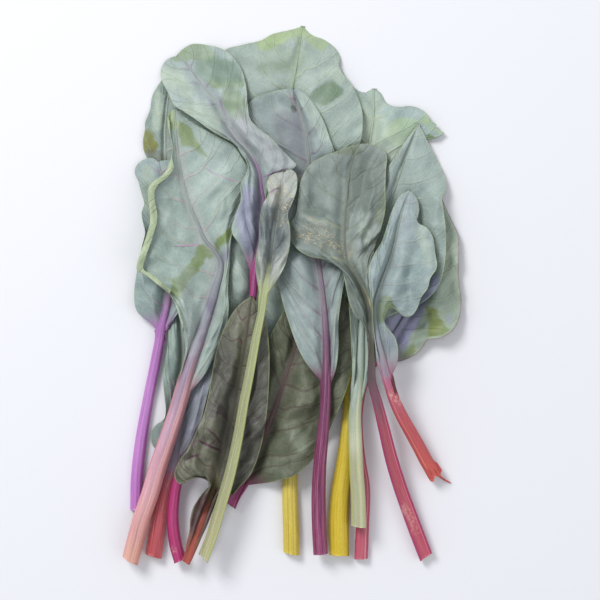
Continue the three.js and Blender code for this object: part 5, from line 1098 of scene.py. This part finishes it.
class Shade:
    """Small helper that builds a node tree out of expressions."""

    def __init__(self, name):
        self.mat = bpy.data.materials.new(name)
        self.mat.use_nodes = True
        self.t = self.mat.node_tree
        self.t.nodes.clear()
        self.cache = {}

    def new(self, kind, **kw):
        node = self.t.nodes.new(kind)
        for k, v in kw.items():
            setattr(node, k, v)
        return node

    def put(self, socket, value):
        if isinstance(value, bpy.types.NodeSocket):
            self.t.links.new(value, socket)
        else:
            socket.default_value = value

    def attr(self, name):
        if name not in self.cache:
            self.cache[name] = self.new("ShaderNodeAttribute", attribute_name=name).outputs["Fac"]
        return self.cache[name]

    def math(self, op, a, b=0.0, c=0.0, clamp=False):
        n = self.new("ShaderNodeMath", operation=op, use_clamp=clamp)
        for i, v in enumerate((a, b, c)):
            if i < len(n.inputs):
                self.put(n.inputs[i], v)
        return n.outputs[0]

    def add(self, a, b):
        return self.math("ADD", a, b)

    def sub(self, a, b):
        return self.math("SUBTRACT", a, b)

    def mul(self, a, b):
        return self.math("MULTIPLY", a, b)

    def step(self, x, a, b, to0=0.0, to1=1.0):
        n = self.new("ShaderNodeMapRange", interpolation_type="SMOOTHSTEP")
        for i, v in enumerate((x, a, b, to0, to1)):
            self.put(n.inputs[i], v)
        return n.outputs[0]

    def mix(self, fac, a, b, mode="MIX"):
        n = self.new("ShaderNodeMix", data_type="RGBA", blend_type=mode)
        self.put(n.inputs[0], fac)
        self.put(n.inputs[6], a)
        self.put(n.inputs[7], b)
        return n.outputs[2]

    def xyz(self, x, y, z=0.0):
        n = self.new("ShaderNodeCombineXYZ")
        for i, v in enumerate((x, y, z)):
            self.put(n.inputs[i], v)
        return n.outputs[0]

    def noise(self, vec, scale, detail=2.0, rough=0.5, distort=0.0):
        n = self.new("ShaderNodeTexNoise")
        self.put(n.inputs["Vector"], vec)
        n.inputs["Scale"].default_value = scale
        n.inputs["Detail"].default_value = detail
        n.inputs["Roughness"].default_value = rough
        n.inputs["Distortion"].default_value = distort
        return n.outputs[0]

    def edges(self, vec, scale, randomness=1.0):
        n = self.new("ShaderNodeTexVoronoi", feature="DISTANCE_TO_EDGE")
        self.put(n.inputs["Vector"], vec)
        n.inputs["Scale"].default_value = scale
        n.inputs["Randomness"].default_value = randomness
        return n.outputs["Distance"]

    def ramp(self, fac, stops):
        n = self.new("ShaderNodeValToRGB")
        self.put(n.inputs[0], fac)
        r = n.color_ramp
        r.interpolation = "B_SPLINE" if len(stops) > 2 else "LINEAR"
        r.interpolation = "EASE"
        while len(r.elements) < len(stops):
            r.elements.new(0.5)
        for e, (p, c) in zip(r.elements, stops):
            e.position = p
            e.color = lin(c)
        return n.outputs[0]


def leaf_material(leaf, index):
    S = Shade(leaf["name"] + "_skin")
    L = LOOKS[leaf["name"]]
    off = 0.317 * index
    # coordinates: the object's own, in millimetres, shifted for each leaf
    geo = S.new("ShaderNodeTexCoord").outputs["Object"]
    mp = S.new("ShaderNodeMapping")
    S.put(mp.inputs["Vector"], geo)
    mp.inputs["Scale"].default_value = (1000, 1000, 1000)
    mp.inputs["Location"].default_value = (off * 100, off * 37, off * 11)
    P = mp.outputs[0]
    lat, lon, along, u, rib, side = (S.attr(n) for n in ("lat", "lon", "along", "u", "rib", "side"))
    blade = S.sub(1.0, rib)
    back = S.sub(1.0, side)

    # --- side veins: lines where the coordinate is a whole number, thinner toward the margin
    def line(q, d, width, soft):
        f = S.math("ABSOLUTE", S.sub(S.math("FRACT", S.add(q, 0.5)), 0.5))
        mm = S.mul(f, d)
        return S.step(mm, S.add(width, soft), S.mul(width, 0.45))
    taper = S.step(u, 0.0, 0.9, 1.0, 0.22)
    main = line(S.attr("q1"), S.attr("d1"), S.mul(taper, L.get("vein_width", 0.85)), 0.35)
    fork = S.mul(line(S.attr("q2"), S.attr("d2"), S.mul(taper, 0.55), 0.3), S.attr("s2"))
    small = S.mul(line(S.add(S.attr("q1"), 0.5), S.attr("d1"), 0.18, 0.35), S.step(u, 0.75, 0.3))
    side_v = S.mul(S.math("MAXIMUM", main, S.mul(fork, 0.75)), blade)
    # --- the fine net between them
    warp = S.new("ShaderNodeVectorMath", operation="ADD")
    wn = S.new("ShaderNodeTexNoise")
    S.put(wn.inputs["Vector"], P)
    wn.inputs["Scale"].default_value = 0.16
    wn.inputs["Detail"].default_value = 2.0
    sc = S.new("ShaderNodeVectorMath", operation="SCALE")
    S.put(sc.inputs[0], wn.outputs["Color"])
    sc.inputs["Scale"].default_value = 5.0
    S.put(warp.inputs[0], P)
    S.put(warp.inputs[1], sc.outputs[0])
    W = warp.outputs[0]
    flat = S.new("ShaderNodeVectorMath", operation="MULTIPLY")
    S.put(flat.inputs[0], W)
    flat.inputs[1].default_value = (1, 1, 0.3)
    Wf = flat.outputs[0]
    net1 = S.step(S.edges(Wf, 0.125), 0.075, 0.012)
    net2 = S.step(S.edges(Wf, 0.34), 0.11, 0.02)
    net = S.mul(S.math("MAXIMUM", net1, S.mul(net2, 0.5)), blade)
    net = S.math("MAXIMUM", net, S.mul(small, S.mul(blade, 0.6)))

    # --- broad variation
    big = S.noise(P, 0.022, 2.0, 0.55)
    mid_n = S.noise(P, 0.10, 3.0, 0.6)
    fine = S.noise(P, 1.1, 3.0, 0.6)

    # --- blade colour: back and face
    bc = S.mix(S.step(big, 0.35, 0.66), lin(L["back"]), lin(L["back2"]))
    bc = S.mix(S.mul(S.step(mid_n, 0.42, 0.70), 0.45), bc, lin(L["back3"]))
    fc = S.mix(S.step(big, 0.35, 0.66), lin(L["face"]), lin(L["face2"]))
    fc = S.mix(S.mul(S.step(mid_n, 0.40, 0.72), 0.5), fc, lin(L["face3"]))
    col = S.mix(side, bc, fc)
    # the net is a little paler on the back; on the face it is darker, painted shade in its grooves
    col = S.mix(S.mul(net, S.mul(back, L.get("net", 0.30))), col, lin(L["net_back"]))
    col = S.mix(S.mul(net, S.mul(side, L.get("net", 0.30))), col, lin(L["net_face"]))
    # side veins, coloured near the midrib and green toward the margin
    vcol = S.mix(S.step(u, L.get("vein_fade0", 0.05), L.get("vein_fade1", 0.75)), lin(L["vein"]), lin(L["vein_out"]))
    col = S.mix(S.mul(side_v, L.get("vein_show", 0.65)), col, vcol)
    flush = S.mul(S.step(u, 0.22, 0.0), S.mul(blade, L.get("flush", 0.25)))
    col = S.mix(flush, col, lin(L["vein"]))
    drawn = S.mul(S.step(S.math("ABSOLUTE", S.attr("mark")), L.get("mark_width", 0.5) + 0.35, L.get("mark_width", 0.5) * 0.5), S.mul(S.attr("markon"), blade))
    col = S.mix(drawn, col, lin(L.get("mark", L["vein"])))
    # masks: olive and bright are tints; pale is partly painted light, lit patches and painted highlights along folds;
    # violet and dark are partly the leaf's own tone and partly painted shade in hollows, gaps and folds
    wob = S.step(mid_n, 0.3, 0.75, 0.75, 1.15)
    for name, c in (("olive", L.get("olive_c", (112, 128, 76))), ("bright", L.get("bright_c", (168, 196, 110))), ("pale", L.get("pale_c", (186, 200, 178))),
                    ("violet", L.get("violet_c", (128, 112, 142))), ("dark", L.get("dark_c", (66, 74, 60)))):
        col = S.mix(S.mul(S.mul(S.attr(name), wob), blade), col, lin(c))
    # dry scratches: the level lines of two twisted noises
    sa = S.noise(P, 0.13, 2.0, 0.55, 1.4)
    sb = S.noise(P, 0.20, 1.0, 0.5, 1.8)
    line_a = S.step(S.math("ABSOLUTE", S.sub(sa, 0.5)), 0.019, 0.007)
    line_b = S.step(S.math("ABSOLUTE", S.sub(sb, 0.48)), 0.015, 0.005)
    scratch = S.mul(S.math("MAXIMUM", line_a, line_b), S.step(S.noise(P, 0.2, 2.0, 0.6), 0.34, 0.46))
    scar = S.mul(S.attr("scar"), scratch)
    col = S.mix(S.mul(S.attr("scar"), 0.10), col, lin((150, 144, 128)))
    col = S.mix(S.mul(scar, 0.9), col, lin((210, 200, 164)))
    # a thin pale rim along the margin
    rim = S.mul(S.step(S.attr("edge"), 1.0, 0.25), blade)
    col = S.mix(S.mul(rim, L.get("rim_mix", 0.3)), col, lin(L.get("rim", (164, 182, 118))))

    # --- stalk and midrib
    stops = L["stalk"]
    k_along = S.mul(along, 0.5)
    rc = S.ramp(k_along, stops)
    dark = S.mix(1.0, rc, lin(L.get("stalk_dark", (196, 176, 180))), "MULTIPLY")
    streak_v = S.xyz(S.mul(lat, 1.25), S.mul(lon, 0.035), off * 20)
    streak = S.noise(streak_v, 1.0, 4.0, 0.62)
    hair_v = S.xyz(S.mul(lat, 3.4), S.mul(lon, 0.09), off * 7)
    hair = S.noise(hair_v, 1.0, 2.0, 0.55)
    streaky = L.get("streaks", 1.0)
    # the dark half of every streak follows the colour it lies on, and the pale half, partly the stalk's own streaking
    # and partly painted sheen, fades out up the midrib
    pale_at = L.get("pale_to", (0.46, 0.62))
    pale_stop = S.ramp(k_along, [(0.0, L["stalk_pale"]), (pale_at[0], L["stalk_pale"]), (pale_at[1], stops[-1][1])])
    calm = S.step(along, 1.0, 1.3, 1.0, 0.3)
    rc = S.mix(S.mul(S.mul(S.step(streak, 0.48, 0.74), 0.42 * streaky), calm), rc, dark)
    rc = S.mix(S.mul(S.step(streak, 0.47, 0.28), 0.34 * streaky), rc, pale_stop)
    rc = S.mix(S.mul(S.step(hair, 0.56, 0.74), 0.16 * streaky), rc, pale_stop)
    rc = S.mix(S.mul(S.step(hair, 0.44, 0.26), 0.14 * streaky), rc, dark)
    frac = S.attr("frac")
    waver = S.sub(frac, S.mul(S.sub(S.noise(S.xyz(0.0, S.mul(lon, 0.03), off * 9), 1.0, 2.0, 0.5), 0.5), 0.25))
    fade = S.step(along, L.get("fade_from", 0.95), L.get("fade_to", 1.2), 1.0, 0.05)
    rc = S.mix(S.mul(S.mul(S.step(S.math("ABSOLUTE", frac), 0.6, 1.0), L.get("edge_mix", 0.3)), fade), rc, lin(L.get("stalk_edge", L["stalk_pale"])))
    # bands along the stalk: partly its own coloured edges and stripes, partly painted light, with darker lines as
    # painted shade in its grooves and pale lines as painted highlights
    for at, wide, colour, strength in leaf.get("bands", []):
        band = S.step(S.math("ABSOLUTE", S.sub(waver, at)), wide * 1.35, wide * 0.5)
        rc = S.mix(S.mul(S.mul(band, strength), fade), rc, lin(colour))
    bruise = S.mul(S.attr("bruise"), S.step(S.noise(P, 0.5, 3.0, 0.6), 0.35, 0.62))
    rc = S.mix(bruise, rc, lin(L.get("bruise_c", (226, 168, 160))))
    # the masks on the rib: dark is partly painted shade, pale partly painted light, and violet_rib lays the violet-grey
    # painted shade of a hollow over the rib
    rc = S.mix(S.mul(S.attr("dark"), rib), rc, lin(L.get("dark_rib", L.get("dark_c", (96, 40, 40)))))
    rc = S.mix(S.mul(S.attr("pale"), 0.6), rc, lin(L.get("pale_c", (186, 200, 178))))
    rc = S.mix(S.mul(S.attr("bright"), S.mul(rib, 0.7)), rc, lin(L.get("bright_c", (168, 196, 110))))
    if L.get("violet_rib"):
        rc = S.mix(S.mul(S.attr("violet"), L["violet_rib"]), rc, lin(L["violet_c"]))
    col = S.mix(rib, col, rc)
    # the cut face: pale flesh with fibre ends
    cut = S.attr("cutend")
    dots = S.new("ShaderNodeTexVoronoi", feature="F1")
    S.put(dots.inputs["Vector"], P)
    dots.inputs["Scale"].default_value = 0.8
    cc = S.mix(S.step(dots.outputs["Distance"], 0.35, 0.12), lin(L["flesh"]), lin(L["stalk"][0][1]))
    cc = S.mix(S.mul(S.step(fine, 0.45, 0.7), 0.35), cc, lin((150, 140, 110)))
    col = S.mix(cut, col, cc)
    # small grain over everything
    grain = S.step(fine, 0.3, 0.7, 0.93, 1.06)
    g3 = S.new("ShaderNodeVectorMath", operation="SCALE")
    S.put(g3.inputs[0], col)
    S.put(g3.inputs["Scale"], grain)
    col = g3.outputs[0]

    # --- relief, in millimetres
    sign = S.sub(S.mul(back, 2.0), 1.0)
    h = S.mul(S.math("MAXIMUM", side_v, drawn), S.mul(sign, 0.34))
    h = S.add(h, S.mul(net, S.mul(sign, 0.10)))
    h = S.add(h, S.mul(S.mul(S.sub(fine, 0.5), blade), 0.07))
    h = S.add(h, S.mul(S.mul(S.sub(mid_n, 0.5), blade), 0.55))
    h = S.add(h, S.mul(S.mul(S.sub(streak, 0.5), rib), 0.45 * streaky))
    h = S.add(h, S.mul(S.mul(S.sub(hair, 0.5), rib), 0.14 * streaky))
    h = S.add(h, S.mul(bruise, -0.3))
    h = S.add(h, S.mul(scar, 0.12))
    h = S.add(h, S.mul(S.mul(cut, S.sub(fine, 0.5)), 0.5))
    bump = S.new("ShaderNodeBump")
    bump.inputs["Strength"].default_value = 0.8
    bump.inputs["Distance"].default_value = 0.001
    S.put(bump.inputs["Height"], h)
    rough = S.mix(rib, S.step(fine, 0.3, 0.7, L.get("rough", 0.46), L.get("rough", 0.46) + 0.12), S.step(hair, 0.3, 0.7, 0.26, 0.42))
    shader = S.new("ShaderNodeBsdfPrincipled")
    S.put(shader.inputs["Base Color"], col)
    S.put(shader.inputs["Roughness"], rough)
    S.put(shader.inputs["Normal"], bump.outputs[0])
    shader.inputs["Specular IOR Level"].default_value = 0.42
    out = S.new("ShaderNodeOutputMaterial")
    S.t.links.new(shader.outputs[0], out.inputs[0])
    return S.mat


# ---- the bunch ----------------------------------------------------------------------------------------
grids = pile(LEAVES)
for i, (leaf, g) in enumerate(zip(LEAVES, grids)):
    ob = mesh_of(leaf, g, i)
    ob.data.materials.append(leaf_material(leaf, i))
    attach(ob, "root")
    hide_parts(leaf["name"])



def fibre(name, leaf, pts, radius, index, sides=10):
    """A loose strand torn out of a stalk: a thin tapering tube through the points (mm)."""
    pts = np.array(pts, float)
    keep = np.linspace(0, len(pts) - 1, 40)
    c = np.stack([blur(np.interp(keep, np.arange(len(pts)), pts[:, k]) - np.linspace(pts[0, k], pts[-1, k], 40), 2.0) + np.linspace(pts[0, k], pts[-1, k], 40) for k in range(3)], -1)
    d = np.gradient(c, axis=0)
    d /= np.linalg.norm(d, axis=1, keepdims=True)
    a = np.cross(d, (0, 0, 1.0))
    a /= np.linalg.norm(a, axis=1, keepdims=True)
    b = np.cross(a, d)
    ang = np.linspace(0, 2 * math.pi, sides, endpoint=False)
    r = radius * (1 - 0.65 * np.linspace(0, 1, 40) ** 2) * (1 + 0.14 * fractal(np.arange(40) / 3.0, np.zeros(40), 990, 2))
    ring = c[:, None] + (a[:, None] * np.cos(ang)[None, :, None] * 1.5 + b[:, None] * np.sin(ang)[None, :, None]) * r[:, None, None]
    verts = np.concatenate([ring.reshape(-1, 3), c[:1], c[-1:]]) / 1000.0
    idx = np.arange(40 * sides).reshape(40, sides)
    nxt = np.roll(idx, -1, 1)
    faces = [list(map(int, q)) for q in np.stack([idx[:-1], idx[1:], nxt[1:], nxt[:-1]], -1).reshape(-1, 4)]
    faces += [[int(idx[0, k]), int(nxt[0, k]), 40 * sides] for k in range(sides)]
    faces += [[int(nxt[-1, k]), int(idx[-1, k]), 40 * sides + 1] for k in range(sides)]
    me = bpy.data.meshes.new(name)
    me.from_pydata([tuple(map(float, v)) for v in verts], [], faces)
    me.update()
    me.polygons.foreach_set("use_smooth", np.ones(len(me.polygons), bool))
    n = len(verts)
    where = dict(rib=1.0, along=0.03, edge=9.0, d1=9.0, d2=9.0, q1=0.5, q2=0.5, mark=4.0)
    for field in FIELDS:
        at = me.attributes.new(field, "FLOAT", "POINT")
        v = np.full(n, where.get(field, 0.0), np.float32)
        if field == "lon":
            v[:40 * sides] = np.repeat(np.linspace(0, 14, 40), sides)
        if field == "lat":
            v[:40 * sides] = np.tile(np.cos(ang) * radius, 40)
        at.data.foreach_set("value", v)
    uv = me.uv_layers.new(name="OFBake")
    co = np.zeros(len(me.loops) * 2, np.float32)
    at = 0
    for poly in me.polygons:
        for k, vi in enumerate(poly.vertices):
            if vi < 40 * sides:
                col = vi % sides
                if col == 0 and any(v % sides == sides - 1 for v in poly.vertices if v < 40 * sides):
                    col = sides
                co[at], co[at + 1] = 0.05 + 0.9 * col / sides, 0.05 + 0.85 * (vi // sides) / 39
            else:
                co[at], co[at + 1] = 0.5, 0.02 if vi == 40 * sides else 0.95
            at += 2
    uv.data.foreach_set("uv", co)
    ob = bpy.data.objects.new(name, me)
    scene_now = bpy.context.scene
    scene_now.collection.objects.link(ob)
    ob.data.materials.append(bpy.data.materials[leaf["name"] + "_skin"])
    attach(ob, "root")
    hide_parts(leaf["name"])


torn = next(k for k, leaf in enumerate(LEAVES) if leaf["name"] == "leaf_14_red_bent")
fibre("leaf_14_fibre", LEAVES[torn], [(96.2, -119.0, 4.6), (98.4, -121.6, 3.9), (101.0, -124.0, 2.9), (104.0, -125.9, 1.8), (107.3, -127.5, 1.0)], 0.62, torn)

# ---- floor, light and camera --------------------------------------------------------------------------
scene = bpy.context.scene
bpy.ops.mesh.primitive_plane_add(size=6.0, location=(0, 0, 0))
floor = bpy.context.object
floor.name = "floor"
fm = bpy.data.materials.new("floor_white")
fm.use_nodes = True
fb = fm.node_tree.nodes["Principled BSDF"]
fb.inputs["Base Color"].default_value = (0.86, 0.865, 0.90, 1)
fb.inputs["Roughness"].default_value = 0.9
fb.inputs["Specular IOR Level"].default_value = 0.1
floor.data.materials.append(fm)


def area(name, at, toward, size, power, color=(1, 1, 1)):
    light = bpy.data.lights.new(name, "AREA")
    light.shape = "SQUARE"
    light.size = size
    light.energy = power
    light.color = color
    ob = bpy.data.objects.new(name, light)
    scene.collection.objects.link(ob)
    ob.location = at
    d = [b - a for a, b in zip(at, toward)]
    yaw = math.atan2(-d[0], d[1])
    flat = math.hypot(d[0], d[1])
    ob.rotation_euler = (math.atan2(flat, -d[2]), 0, yaw)
    return ob


area("key", (-1.0, 1.1, 1.5), (0, 0, 0), 0.8, 29.0)
area("fill", (1.3, -0.6, 1.4), (0, 0, 0), 1.4, 5.2)
world = bpy.data.worlds.new("studio")
scene.world = world
world.use_nodes = True
bg = world.node_tree.nodes["Background"]
bg.inputs[0].default_value = (0.93, 0.95, 1.0, 1)
bg.inputs[1].default_value = 0.56
scene.view_settings.view_transform = "Standard"

cam_data = bpy.data.cameras.new("camera")
cam_data.lens = 110
cam_data.sensor_width = 36
cam = bpy.data.objects.new("camera", cam_data)
scene.collection.objects.link(cam)
cam.location = (0.0054, -0.0040, 0.010 + 0.402 * 110 / 36)
cam.rotation_euler = (0, 0, 0)
scene.camera = cam
